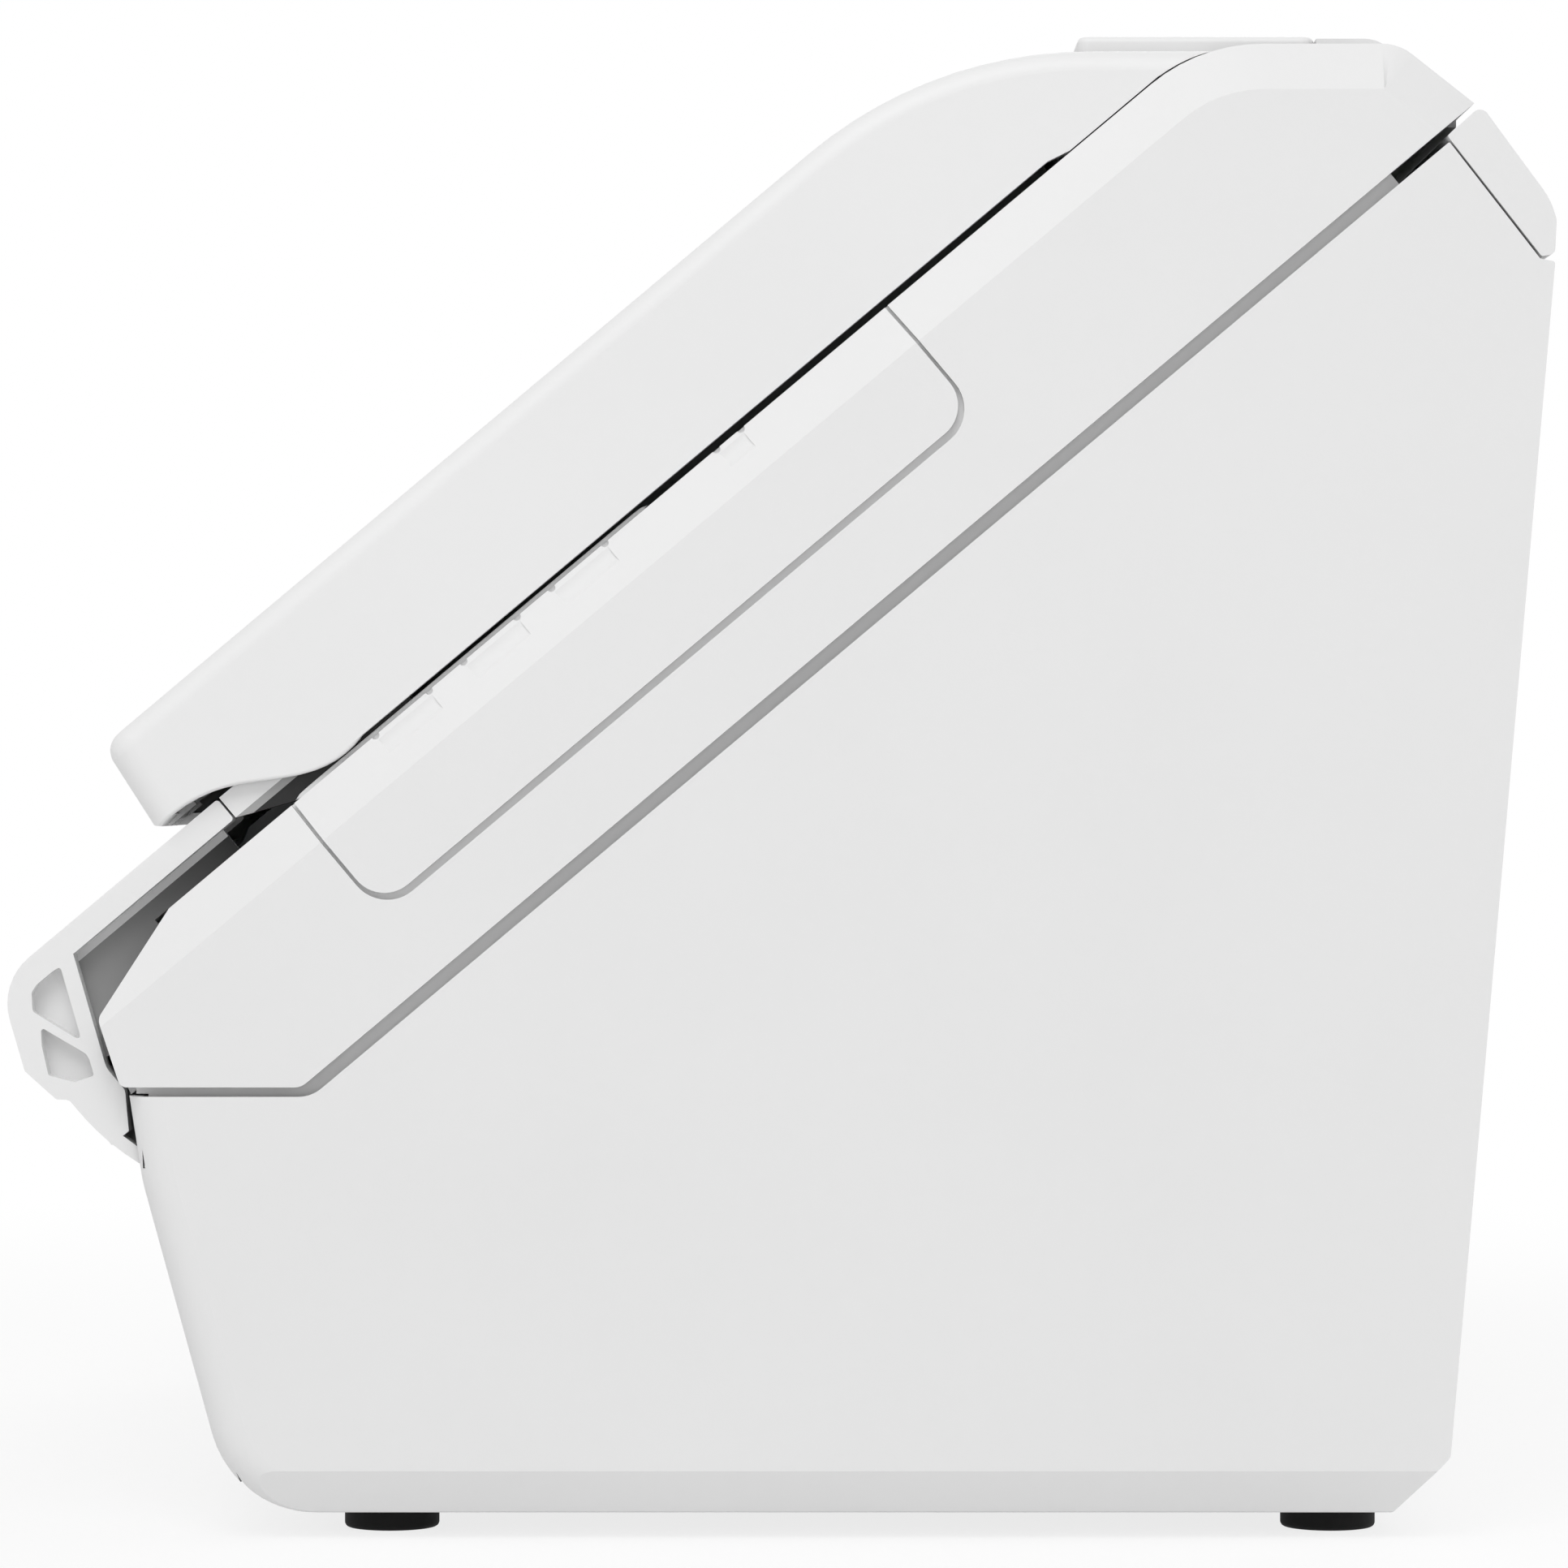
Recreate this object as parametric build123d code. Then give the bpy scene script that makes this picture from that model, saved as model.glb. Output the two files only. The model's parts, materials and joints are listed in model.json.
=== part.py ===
from build123d import *

import os
from math import cos, pi, radians, sin, tan

# Desktop sheet-fed document scanner, in millimetres. +Z is up, the front faces -Y, and the origin is
# under the middle of the machine, on the surface that its feet stand on.

# Overall body
WIDTH = 306.0                 # outside width of the base
SLOPE = 40.0                  # slope of the cover and of the parting lines
WALL = 2.5                    # moulded wall
FOOT_HEIGHT = 4.3             # gap under the base
PARTING_Y = -80.8             # front end of the finger inset on the cover's parting line
PARTING_Z = 122.5

# Base housing
SILL_Z = 73.8                 # top of the front wall
SILL_FRONT_Y = -108.4
KNEE_Z = 59.5                 # where the front wall starts to lean back
KNEE_Y = -106.2
FRONT_LEAN = 15.4
BACK_LEAN = 5.0
BACK_FOOT_Y = 111.2
BACK_FOOT_Z = 14.0
BACK_TOP_Z = 212.3
HEEL_RUN = 9.4                # chamfer under the back wall
TOE_RADIUS = 18.0             # large front bottom corner
KNEE_RADIUS = 30.0
SILL_RADIUS = 6.0             # where the front sill turns up the slope
BASE_EDGE_RADIUS = 6.0
SKIRT_BEVEL_HEIGHT = 7.5      # bevel along the foot of the side walls
SKIRT_BEVEL_DEPTH = 4.0
BASE_TOP_V = -39.3            # upper edge of the base, square to the slope
BASE_APEX_U = 217.4           # its sharp rear end

# Middle housing
MIDDLE_BOTTOM_V = -37.0
GROOVE_FLOOR_Z = 75.4
CHEEK_FRONT_U = -27.2         # where the parting edge turns down at the front
CHEEK_NOSE_Y = -113.1
CHEEK_NOSE_Z = 86.8
CHEEK_TOE_Y = -109.3
TOP_Z = 248.9                 # top of the rear hump
HUMP_RADIUS = 29.0            # round from the slope onto the hump
HUMP_BACK_Y = 103.0
HUMP_BACK_RADIUS = 8.0
HUMP_REAR_U = 225.3
CHEEK_BEVEL_HEIGHT = 8.0
CHEEK_BEVEL_DEPTH = 4.0
CHEEK_THICK = 14.7            # from the outer side face to the channel between the cheeks
CHEEK_INNER_WALL = 2.5
SKIRT_GAP = 1.0               # play between the base wall and the skirt inside it
SKIRT_WALL = 2.5
SKIRT_DROP = 8.0

# Paper path
PAPER_V = -22.0
PAPER_GAP = 1.0
GUIDE_THICK = 2.0
PAPER_MARGIN = 15.0           # upper unit beyond the widest sheet, on each side
ROLLER_RADIUS = 7.5
SHAFT_RADIUS = 3.0
IDLER_RADIUS = 5.0
IDLER_SHAFT_RADIUS = 1.5
NIP_GAP = 0.3
EJECT_U = -5.0
TRANSPORT_U = 75.0
FEED_U = 138.0
LOWER_GLASS_U = 30.0
UPPER_GLASS_U = 52.0
GLASS_LENGTH = 14.0
GLASS_THICK = 2.0
SENSOR_HEIGHT = 12.0
RUNNING_FIT = 0.06
SLEEVE_MARGIN = 35.0          # middle of the outer sleeve inside the edge of the sheet
SLEEVE_PITCH = 30.0
SLEEVE_WIDTH = 14.0
IDLER_WIDTH = 12.0
LUG_ROOM = 20.0               # bearing of an idler shaft beyond its outer wheel
SEPARATION_WIDTH = 40.0
SEPARATION_REACH = 32.0
GUIDE_RIB_PITCH = 30.0

# Side frames, drive train and electrics
FRAME_ROOM = 6.0              # side frames outside the upper unit
FRAME_THICK = 1.2
BUSH_RADIUS = 4.0
PULLEY_RADIUS = 7.0
BELT_THICK = 1.2
BELT_WIDTH = 3.6
BELT_GAP = 0.25
GEAR_MODULE = 0.8
GEAR_TEETH = 36
PINION_TEETH = 12
GEAR_WIDTH = 3.4
MOTOR_RADIUS = 14.0
MOTOR_LENGTH = 34.0
MOTOR_ANGLE = -60.0

# Front cover
COVER_V = 28.0                # cover thickness above the parting line
COVER_LIP_U = -20.6
COVER_NOSE_U = -18.6
COVER_LIP_V = 11.4
COVER_LIP_ROUND = 1.0
COVER_TOP_Z = 248.0
COVER_CROWN_RADIUS = 73.0
COVER_NOSE_RADIUS = 5.0       # rounding between the side faces and the nose
COVER_BACK_Y = 49.2           # middle of the cover ends here, in front of the feed extension
COVER_EDGE_RADIUS = 3.5
COVER_CURL_RADIUS = 0.5         # along the S-shaped lower border
COVER_GAP_V = 1.45            # open slot along the parting line, at its lower end
SLOT_END_GAP_V = 1.25         # and just before it closes
SLOT_TIP_U = 168.7
HINGE_U = -16.8
HINGE_V = 13.2
HINGE_PIN_RADIUS = 1.1
HINGE_KNUCKLE_RADIUS = 2.2
HINGE_ROOM = 6.3              # middle of a hinge arm from the cheek
HINGE_ARM_WIDTH = 6.0
UNIT_ROOM = 13.3              # upper unit inside the channel, on each side
UNIT_FRONT_U = -15.4
UNIT_CLEARANCE_RADIUS = 12.2   # the unit passes under the tray's edge within this reach of the hinge

# Output tray
TRAY_PLAY = 0.5               # between the tray and the side walls of the cover
TRAY_SIDE_GAP = 0.3           # between the tray and the cheeks
TRAY_V = 8.9                  # outer face of the closed tray
TRAY_PANEL = 4.3
TRAY_END_U = -9.6
TRAY_CORNER_U = -57.2
TRAY_CORNER_RADIUS = 10.0
TRAY_WALL = 2.2
TRAY_HINGE_U = -19.2
TRAY_HINGE_V = -16.0
TRAY_WALL_RADIUS = 41.6
TRAY_SWEEP_RADIUS = 46.0
TRAY_WALL_SWEEP = 19.3        # reach of the tray's inner side wall as it passes the cheek's edge
TRAY_PIN_RADIUS = 2.5
TRUSS_WIDTH = 6.0
TRUSS_WEB = 2.2
EXTENSION_MARGIN = 2.0        # recess of the tray's extension beyond the sheet
EXTENSION_GAP = 0.4

# Feed tray
FLAP_ROOM = 2.3               # between the feed tray and the cheeks
FLAP_UNDER_Z = 249.1
FLAP_TOP_Z = 251.7
FLAP_FRONT_Y = 50.2
FLAP_SEAM_Y = 90.3
FLAP_HINGE_Y = 98.5
FLAP_HINGE_Z = 245.3
FLAP_KNUCKLE_RADIUS = 6.0
FLAP_PIN_RADIUS = 2.5
FLAP_RIB_Z = 246.6
REAR_DECK_Z = 238.5

# Finger inset in the cheeks
INSET_LENGTH = 128.3
INSET_DROP = 22.6
INSET_RADIUS = 6.0
INSET_GAP = 0.6
INSET_LOWER_GAP = 1.3
INSET_SKIN = 1.6
SCOOP_FIRST_U = 23.4
SCOOP_PITCH = 19.1
SCOOP_LENGTH = 11.6
SCOOP_SHORT_U = 94.3          # middle of the fourth, short scoop
SCOOP_SHORT_LENGTH = 5.3
SCOOP_DROP = 2.4              # deepest line of a scoop, below the edge of the bevel
SCOOP_RADIUS = 3.4
SCOOP_DEPTH = 0.45
SCOOP_NOTCH_RADIUS = 0.7

# Document guides
GUIDE_END_ROOM = 19.8         # end of the lower guide before the rear of the hump
GUIDE_LENGTH = 32.0
GUIDE_END_GAP = 3.5           # document guides inside the end of the lower guide
GUIDE_RACK_ROOM = 12.0        # pinion's axis from the upper end of the document guides
GUIDE_TEETH = 16
GUIDE_MODULE = 1.0
GUIDE_TRAVEL = 60.0
GUIDE_HEIGHT = 9.0

# Openings and hatches of the base
HATCH_INSET = 33.0            # opening under the base, from the side faces
HATCH_FRONT_Y = -72.0
HATCH_BACK_Y = 96.0
HATCH_GAP = 0.3
HATCH_FLANGE = 5.0
INLET_INSET = 48.0            # from the side face to the middle of the inlet
INLET_HALF = 6.5
INLET_TOP_Z = 43.5
SOCKET_PITCH = 28.0           # from the inlet to the socket
SOCKET_HALF = 6.5
SOCKET_TOP_Z = 41.5
CONNECTOR_FOOT_Z = 28.5
CONNECTOR_GAP = 0.5           # round each connector in its window
CONNECTOR_END_Y = 113.2
VENT_COUNT = 14
VENT_FIRST_X = 20.0
VENT_PITCH = 7.0
VENT_WIDTH = 3.0
VENT_LOW_Z = 120.0
VENT_HIGH_Z = 160.0
BOARD_FRONT_Y = 96.0
BOARD_THICK = 1.6
BOARD_WIDTH = 126.0
BOARD_LOW_Z = 12.0
BOARD_HIGH_Z = 92.0
BOARD_OVERHANG = 11.0         # board beyond the middle of the inlet

# Display, buttons and release lever
DISPLAY_FROM_U = 62.0
DISPLAY_TO_U = 106.0
DISPLAY_INSET = 42.0          # from the side of the cover
DISPLAY_WIDTH = 74.0
DISPLAY_GAP = 0.15
DISPLAY_THICK = 1.35
BUTTON_U = 48.0
BUTTON_INSET = 7.0            # middle of the last button from the edge of the display
BUTTON_PITCH = 30.0
BUTTON_RADIUS = 5.0
BUTTON_GAP = 0.3
BUTTON_RISE = 0.6
BUTTON_HEIGHT = 6.0
BUTTON_FLANGE = 1.6
LEVER_HALF = 25.0
LEVER_FRONT_Y = 31.0
LEVER_BACK_Y = 45.0
LEVER_LOW_Z = 238.9
LEVER_THICK = 2.0
LEVER_GRIP_HALF = 20.0
LEVER_PLAY = 0.3

# Feet and fasteners
FOOT_RADIUS = 8.0
FOOT_INSET = 23.0             # from the side face to the middle of a foot
FOOT_FRONT_Y = -65.7
FOOT_BACK_Y = 92.8
SCREW_INSET = 20.0            # from the edge of the hatch
SCREW_FRONT_Y = -60.0
SCREW_BACK_Y = 80.0
SCREW_RADIUS = 1.5
SCREW_HEAD_RADIUS = 3.2

# Places across the machine, from the outside in
HALF = WIDTH / 2
INNER_HALF = HALF - WALL
COVER_HALF = HALF - CHEEK_BEVEL_DEPTH
TRAY_HALF = COVER_HALF - WALL - TRAY_PLAY
CHANNEL_HALF = HALF - CHEEK_THICK
FLAP_HALF = CHANNEL_HALF - FLAP_ROOM
HINGE_X = CHANNEL_HALF - HINGE_ROOM
UNIT_HALF = CHANNEL_HALF - UNIT_ROOM
FRAME_INNER_X = UNIT_HALF + FRAME_ROOM
PAPER_HALF = UNIT_HALF - PAPER_MARGIN
GUIDE_OPEN_X = PAPER_HALF
SLEEVE_OUTER_X = PAPER_HALF - SLEEVE_MARGIN
LUG_X = SLEEVE_OUTER_X + LUG_ROOM
EXTENSION_HALF = PAPER_HALF + EXTENSION_MARGIN
FOOT_X = HALF - FOOT_INSET
HATCH_HALF = HALF - HATCH_INSET
SCREW_X = HATCH_HALF - SCREW_INSET
INLET_X = INLET_INSET - HALF
SOCKET_X = INLET_X + SOCKET_PITCH
DISPLAY_RIGHT_X = COVER_HALF - DISPLAY_INSET
DISPLAY_LEFT_X = DISPLAY_RIGHT_X - DISPLAY_WIDTH

# Places along the slope at its upper end
LOWER_GUIDE_END_U = HUMP_REAR_U - GUIDE_END_ROOM
GUIDE_TO_U = LOWER_GUIDE_END_U - GUIDE_END_GAP
GUIDE_FROM_U = GUIDE_TO_U - GUIDE_LENGTH
GUIDE_CENTRE_U = GUIDE_TO_U - GUIDE_RACK_ROOM

# Planes that the outlines are drawn on
DECK_COS = cos(radians(SLOPE))
DECK_SIN = sin(radians(SLOPE))
SIDE = Plane(origin=(0, 0, 0), x_dir=(0, 1, 0), z_dir=(1, 0, 0))
DECK = Plane(origin=(0, PARTING_Y, PARTING_Z), x_dir=(0, DECK_COS, DECK_SIN), z_dir=(1, 0, 0))
ACROSS = Vector(1, 0, 0)


def at(u, v):
    """Side-view point (y, z) of a place u along the slope and v square to it."""
    return (PARTING_Y + u * DECK_COS - v * DECK_SIN, PARTING_Z + u * DECK_SIN + v * DECK_COS)


def deck_of(y, z):
    """Place along and square to the slope of a side-view point."""
    dy = y - PARTING_Y
    dz = z - PARTING_Z
    return (dy * DECK_COS + dz * DECK_SIN, dz * DECK_COS - dy * DECK_SIN)


def u_at_height(z, v):
    """Distance along the slope at which the line at v reaches height z."""
    return (z - PARTING_Z - v * DECK_COS) / DECK_SIN


def outline(points, radii=0.0):
    """Face inside a closed run of points with rounded corners."""
    return make_face(FilletPolyline(*points, radius=radii, close=True))


def prism(face, x_from, x_to, plane=DECK):
    """Carries a face drawn in side view from one X to another."""
    return extrude(plane.offset(x_from) * face, amount=x_to - x_from, dir=ACROSS)


def slab(u0, u1, v0, v1, x0, x1):
    """Block with its sides along and square to the slope."""
    return prism(outline([(u0, v0), (u1, v0), (u1, v1), (u0, v1)]), x0, x1)


def block(y0, y1, z0, z1, x0, x1):
    """Upright block."""
    return prism(outline([(y0, z0), (y1, z0), (y1, z1), (y0, z1)]), x0, x1, SIDE)


def rod(u, v, radius, x0, x1):
    """Round bar along X."""
    return prism(Pos(u, v) * Circle(radius), x0, x1)


def both(solid):
    """The solid and its mirror image on the other side of the machine."""
    return solid + mirror(solid, about=Plane.YZ)


def side_edges(solid, at_x):
    """Edges that lie in the plane at the given X."""
    return solid.edges().filter_by_position(Axis.X, at_x - 0.01, at_x + 0.01)


def edge_v(edge):
    """Distance of an edge from the parting line, square to the slope."""
    return deck_of(edge.center().Y, edge.center().Z)[1]


def save(node, shape):
    """Writes one named piece."""
    export_step(shape, f"parts/{node}.step")


# Base

def base_points():
    toe_y = KNEE_Y + (KNEE_Z - FOOT_HEIGHT) * tan(radians(FRONT_LEAN))
    back_top_y = BACK_FOOT_Y + (BACK_TOP_Z - BACK_FOOT_Z) * tan(radians(BACK_LEAN))
    sill_u = u_at_height(SILL_Z, BASE_TOP_V)
    return [
        (SILL_FRONT_Y, SILL_Z), (KNEE_Y, KNEE_Z), (toe_y, FOOT_HEIGHT),
        (BACK_FOOT_Y - HEEL_RUN, FOOT_HEIGHT), (BACK_FOOT_Y, BACK_FOOT_Z),
        (back_top_y, BACK_TOP_Z), (back_top_y - WALL, BACK_TOP_Z + 0.5),
        at(BASE_APEX_U, BASE_TOP_V), at(sill_u, BASE_TOP_V),
    ]


def skirt_bevel(inset):
    """Wedges that take the bevel off the foot of both side walls."""
    lean = SKIRT_BEVEL_DEPTH / SKIRT_BEVEL_HEIGHT
    low = FOOT_HEIGHT - 1
    high = FOOT_HEIGHT + SKIRT_BEVEL_HEIGHT
    top = (HALF - inset, high)
    foot = (HALF - inset - SKIRT_BEVEL_DEPTH - lean, low)
    face = make_face(Polyline(top, foot, (HALF + 5, low), (HALF + 5, high), close=True))
    wedge = extrude(Plane.XZ * face, amount=200, both=True)
    return both(wedge)


def base_housing():
    points = base_points()
    rounding = [0, KNEE_RADIUS, TOE_RADIUS, 0, 2, 0.5, 0.3, 0.3, SILL_RADIUS]
    body = prism(outline(points, rounding), -HALF, HALF, SIDE)
    rounded = [e for x in (-HALF, HALF) for e in side_edges(body, x)
               if e.center().Z < SILL_Z - 2 and e.center().Y < 90]
    body = fillet(rounded, BASE_EDGE_RADIUS)
    body -= skirt_bevel(0)
    hollow = offset(outline(points), amount=-WALL, kind=Kind.INTERSECTION)
    hollow = prism(hollow, -INNER_HALF, INNER_HALF, SIDE)
    hollow += slab(-26, BASE_APEX_U - WALL, BASE_TOP_V - 12, BASE_TOP_V + 8, -INNER_HALF, INNER_HALF)
    sill_end = at(-20, BASE_TOP_V)[0]
    hollow += block(SILL_FRONT_Y + WALL, sill_end, SILL_Z - 12, SILL_Z + 4, -INNER_HALF, INNER_HALF)
    body -= hollow - skirt_bevel(WALL)
    body -= rod(TRAY_HINGE_U, TRAY_HINGE_V, TRAY_SWEEP_RADIUS, -TRAY_HALF - 1, TRAY_HALF + 1)
    floor = FOOT_HEIGHT + WALL
    body -= block(HATCH_FRONT_Y, HATCH_BACK_Y, FOOT_HEIGHT - 1, floor + 1, -HATCH_HALF, HATCH_HALF)
    body -= back_openings()
    return body


def back_openings():
    """Vent slots and connector windows in the back wall."""
    low = CONNECTOR_FOOT_Z - CONNECTOR_GAP
    inlet = INLET_HALF + CONNECTOR_GAP
    socket = SOCKET_HALF + CONNECTOR_GAP
    cuts = block(100, 130, low, INLET_TOP_Z + CONNECTOR_GAP, INLET_X - inlet, INLET_X + inlet)
    cuts += block(100, 130, low, SOCKET_TOP_Z + CONNECTOR_GAP, SOCKET_X - socket, SOCKET_X + socket)
    for index in range(VENT_COUNT):
        x = VENT_FIRST_X + index * VENT_PITCH
        cuts += block(100, 140, VENT_LOW_Z, VENT_HIGH_Z, x, x + VENT_WIDTH)
    return cuts


def screw_places():
    return [(x, y) for x in (-SCREW_X, SCREW_X) for y in (SCREW_FRONT_Y, SCREW_BACK_Y)]


def bottom_plate():
    inner = HATCH_HALF - HATCH_GAP
    outer = HATCH_HALF + HATCH_FLANGE
    inside = FOOT_HEIGHT + WALL
    plate = block(HATCH_FRONT_Y + HATCH_GAP, HATCH_BACK_Y - HATCH_GAP, FOOT_HEIGHT, inside, -inner, inner)
    plate += block(HATCH_FRONT_Y - 4, HATCH_BACK_Y + 4, inside, inside + WALL, -outer, outer)
    for x, y in screw_places():
        plate -= Pos(x, y, FOOT_HEIGHT) * Cylinder(SCREW_HEAD_RADIUS + 0.8, 3)
        plate -= Pos(x, y, FOOT_HEIGHT) * Cylinder(SCREW_RADIUS + 0.1, 20)
    return plate


def bottom_screws():
    screws = Part()
    for x, y in screw_places():
        head = Pos(x, y, FOOT_HEIGHT + 0.6) * Cylinder(SCREW_HEAD_RADIUS, 1.6)
        head -= Pos(x, y, FOOT_HEIGHT) * Box(4, 0.8, 1.0)
        screws += head + Pos(x, y, FOOT_HEIGHT + 5.4) * Cylinder(SCREW_RADIUS, 8)
    return screws


def rubber_feet():
    feet = Part()
    for x in (-FOOT_X, FOOT_X):
        for y in (FOOT_FRONT_Y, FOOT_BACK_Y):
            foot = Pos(x, y, FOOT_HEIGHT / 2) * Cylinder(FOOT_RADIUS, FOOT_HEIGHT)
            feet += fillet(foot.edges().sort_by(Axis.Z)[0], 0.8)
    return feet


# Middle housing

def middle_points():
    hump_u = u_at_height(TOP_Z, 0)
    groove_u = u_at_height(GROOVE_FLOOR_Z, MIDDLE_BOTTOM_V)
    return [
        at(CHEEK_FRONT_U, 0), at(hump_u, 0), (HUMP_BACK_Y, TOP_Z), at(HUMP_REAR_U, MIDDLE_BOTTOM_V),
        at(groove_u, MIDDLE_BOTTOM_V), (CHEEK_TOE_Y, GROOVE_FLOOR_Z), (CHEEK_NOSE_Y, CHEEK_NOSE_Z),
    ]


def middle_face():
    return outline(middle_points(), [0, HUMP_RADIUS, HUMP_BACK_RADIUS, 0, 3, 1.5, 2])


def hump_arc_centre():
    """Centre of the round that leads from the slope onto the hump."""
    run = HUMP_RADIUS * tan(radians(SLOPE / 2))
    y, z = at(u_at_height(TOP_Z, 0), 0)
    return (y + run, z - HUMP_RADIUS)


def middle_block():
    """Whole outer shape, with the long bevel that runs over both shoulders."""
    body = prism(middle_face(), -HALF, HALF, SIDE)
    for x in (-HALF, HALF):
        side = body.faces().sort_by(Axis.X)[-1 if x > 0 else 0]
        shoulder = []
        for edge in side_edges(body, x):
            u, v = deck_of(edge.center().Y, edge.center().Z)
            if v > -0.1 or (u > 150 and v > MIDDLE_BOTTOM_V + 4):
                shoulder.append(edge)
        body = chamfer(shoulder, CHEEK_BEVEL_HEIGHT, CHEEK_BEVEL_DEPTH, reference=side)
    return body


def middle_housing(shape):
    body = Part() + shape
    deep = offset(outline(middle_points()), amount=-CHEEK_BEVEL_HEIGHT - 1.5, kind=Kind.INTERSECTION)
    shallow = offset(outline(middle_points()), amount=-WALL, kind=Kind.INTERSECTION)
    inner = CHANNEL_HALF + CHEEK_INNER_WALL
    cavity = prism(shallow, inner, HALF - 6, SIDE) + prism(deep, inner, INNER_HALF, SIDE)
    cavity += slab(-26, 200, -45, -12, inner, INNER_HALF) + slab(198, 214, -45, -31, inner, INNER_HALF)
    cavity += slab(-62, -20, -60, -CHEEK_BEVEL_HEIGHT - 1.5, inner, INNER_HALF)
    cavity += slab(-62, -20, -60, -WALL, inner, HALF - 6)
    body -= both(cavity)
    body -= slab(-70, 235, -60, 40, -CHANNEL_HALF, CHANNEL_HALF)
    inside = CHANNEL_HALF - 1
    reach = TRAY_HALF + TRAY_SIDE_GAP
    sweep = rod(TRAY_HINGE_U, TRAY_HINGE_V, TRAY_SWEEP_RADIUS, inside, reach)
    body -= both(sweep & (slab(-80, 60, -70, -WALL, inside, HALF) + slab(-80, -29, -10, 5, inside, HALF)))
    body -= both(rod(TRAY_HINGE_U, TRAY_HINGE_V, TRAY_WALL_SWEEP, inside, reach))
    body += both(inner_skirt() + tray_boss() + inset_backing())
    body += rear_deck()
    body -= both(inset_pocket(shape))
    hinge_u, hinge_v = deck_of(FLAP_HINGE_Y, FLAP_HINGE_Z)
    body -= both(rod(hinge_u, hinge_v, FLAP_PIN_RADIUS + RUNNING_FIT, inside, CHANNEL_HALF + 6.7))
    return body


def inner_skirt():
    """Thin wall that stands inside the base and shows as the grey step in the groove."""
    x1 = INNER_HALF - SKIRT_GAP
    x0 = x1 - SKIRT_WALL
    skirt = slab(-33, 207, MIDDLE_BOTTOM_V - SKIRT_DROP, MIDDLE_BOTTOM_V + 4, x0, x1)
    skirt += slab(-20, 207, MIDDLE_BOTTOM_V + 1, MIDDLE_BOTTOM_V + 4, x0, INNER_HALF + 0.5)
    skirt += block(-105, -74, GROOVE_FLOOR_Z - 7, GROOVE_FLOOR_Z + 4, x0, x1)
    skirt += block(-107, -104, SILL_Z + 0.4, GROOVE_FLOOR_Z + 4, x0, x1)
    skirt += block(-105, -82, GROOVE_FLOOR_Z + 1, GROOVE_FLOOR_Z + 4, x0, INNER_HALF + 0.5)
    return skirt


def tray_boss():
    boss = rod(TRAY_HINGE_U, TRAY_HINGE_V, TRAY_PIN_RADIUS + 2.5, TRAY_HALF + TRAY_SIDE_GAP, INNER_HALF + 0.5)
    return boss - rod(TRAY_HINGE_U, TRAY_HINGE_V, TRAY_PIN_RADIUS + RUNNING_FIT, TRAY_HALF, INNER_HALF)


def inset_backing():
    """Thicker wall behind the finger inset."""
    return slab(-3, INSET_LENGTH + 3, -INSET_DROP - 4, -WALL, HALF - 6.2, INNER_HALF + 0.5) \
        - slab(-3, INSET_LENGTH + 3, -CHEEK_BEVEL_HEIGHT - 1.5, 0, HALF - 6, HALF)


def inset_outline(side_gap, lower_gap):
    low = -INSET_DROP - lower_gap
    points = [(-side_gap, 5), (-side_gap, low), (INSET_LENGTH + side_gap, low), (INSET_LENGTH + side_gap, 5)]
    radius = INSET_RADIUS + side_gap
    return prism(outline(points, [0, radius, radius, 0]), HALF - 20, HALF + 1)


def skin(shape, thickness):
    """Outer layer of the right-hand side of a shape, of even depth along X."""
    return shape - Pos(-thickness, 0, 0) * shape


def inset_pocket(shape):
    return inset_outline(INSET_GAP, INSET_LOWER_GAP) & skin(shape, INSET_SKIN + 0.2)


def scoop(middle, length):
    """Dished cut along the bevel, with a small notch in the edge at each end."""
    face_length = (CHEEK_BEVEL_HEIGHT**2 + CHEEK_BEVEL_DEPTH**2)**0.5
    reach = SCOOP_RADIUS - SCOOP_DEPTH
    face_x = HALF - CHEEK_BEVEL_DEPTH + SCOOP_DROP * CHEEK_BEVEL_DEPTH / CHEEK_BEVEL_HEIGHT
    x = face_x + reach * CHEEK_BEVEL_HEIGHT / face_length
    v = -SCOOP_DROP + reach * CHEEK_BEVEL_DEPTH / face_length
    start = Plane(origin=(x, *at(middle - length / 2, v)), x_dir=(1, 0, 0), z_dir=(0, DECK_COS, DECK_SIN))
    cut = extrude(start * Circle(SCOOP_RADIUS), amount=length)
    for end in (-1, 1):
        cut += rod(middle + end * length / 2, 0, SCOOP_NOTCH_RADIUS, HALF - 20, HALF)
    return cut


def side_inset(shape):
    """Right-hand finger inset with its three long scoops and one short one."""
    body = inset_outline(0, 0) & skin(shape, INSET_SKIN)
    for index in range(3):
        body -= scoop(SCOOP_FIRST_U + index * SCOOP_PITCH, SCOOP_LENGTH)
    return body - scoop(SCOOP_SHORT_U, SCOOP_SHORT_LENGTH)


def rear_deck():
    """Low bridge between the humps, under the hinge of the feed tray."""
    reach = CHANNEL_HALF + 1
    deck = block(93.2, 113.6, REAR_DECK_Z - WALL, REAR_DECK_Z, -reach, reach)
    deck += slab(208, HUMP_REAR_U - 0.8, MIDDLE_BOTTOM_V, MIDDLE_BOTTOM_V + WALL, -reach, reach)
    return deck


def rear_cover():
    points = [at(BASE_APEX_U + 0.4, -38.3), (116.3, 238.2), (127.7, 222.7), (128.8, 219.3), (128.5, 213.6),
              (126.3, 213.2)]
    body = prism(outline(points, [0.5, 1.5, 12, 3, 1, 0.5]), -HALF, HALF, SIDE)
    hollow = offset(outline(points), amount=-WALL + 0.3, kind=Kind.INTERSECTION)
    return body - prism(hollow, -HALF + 2 * WALL, HALF - 2 * WALL, SIDE)


# Paper path

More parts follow.
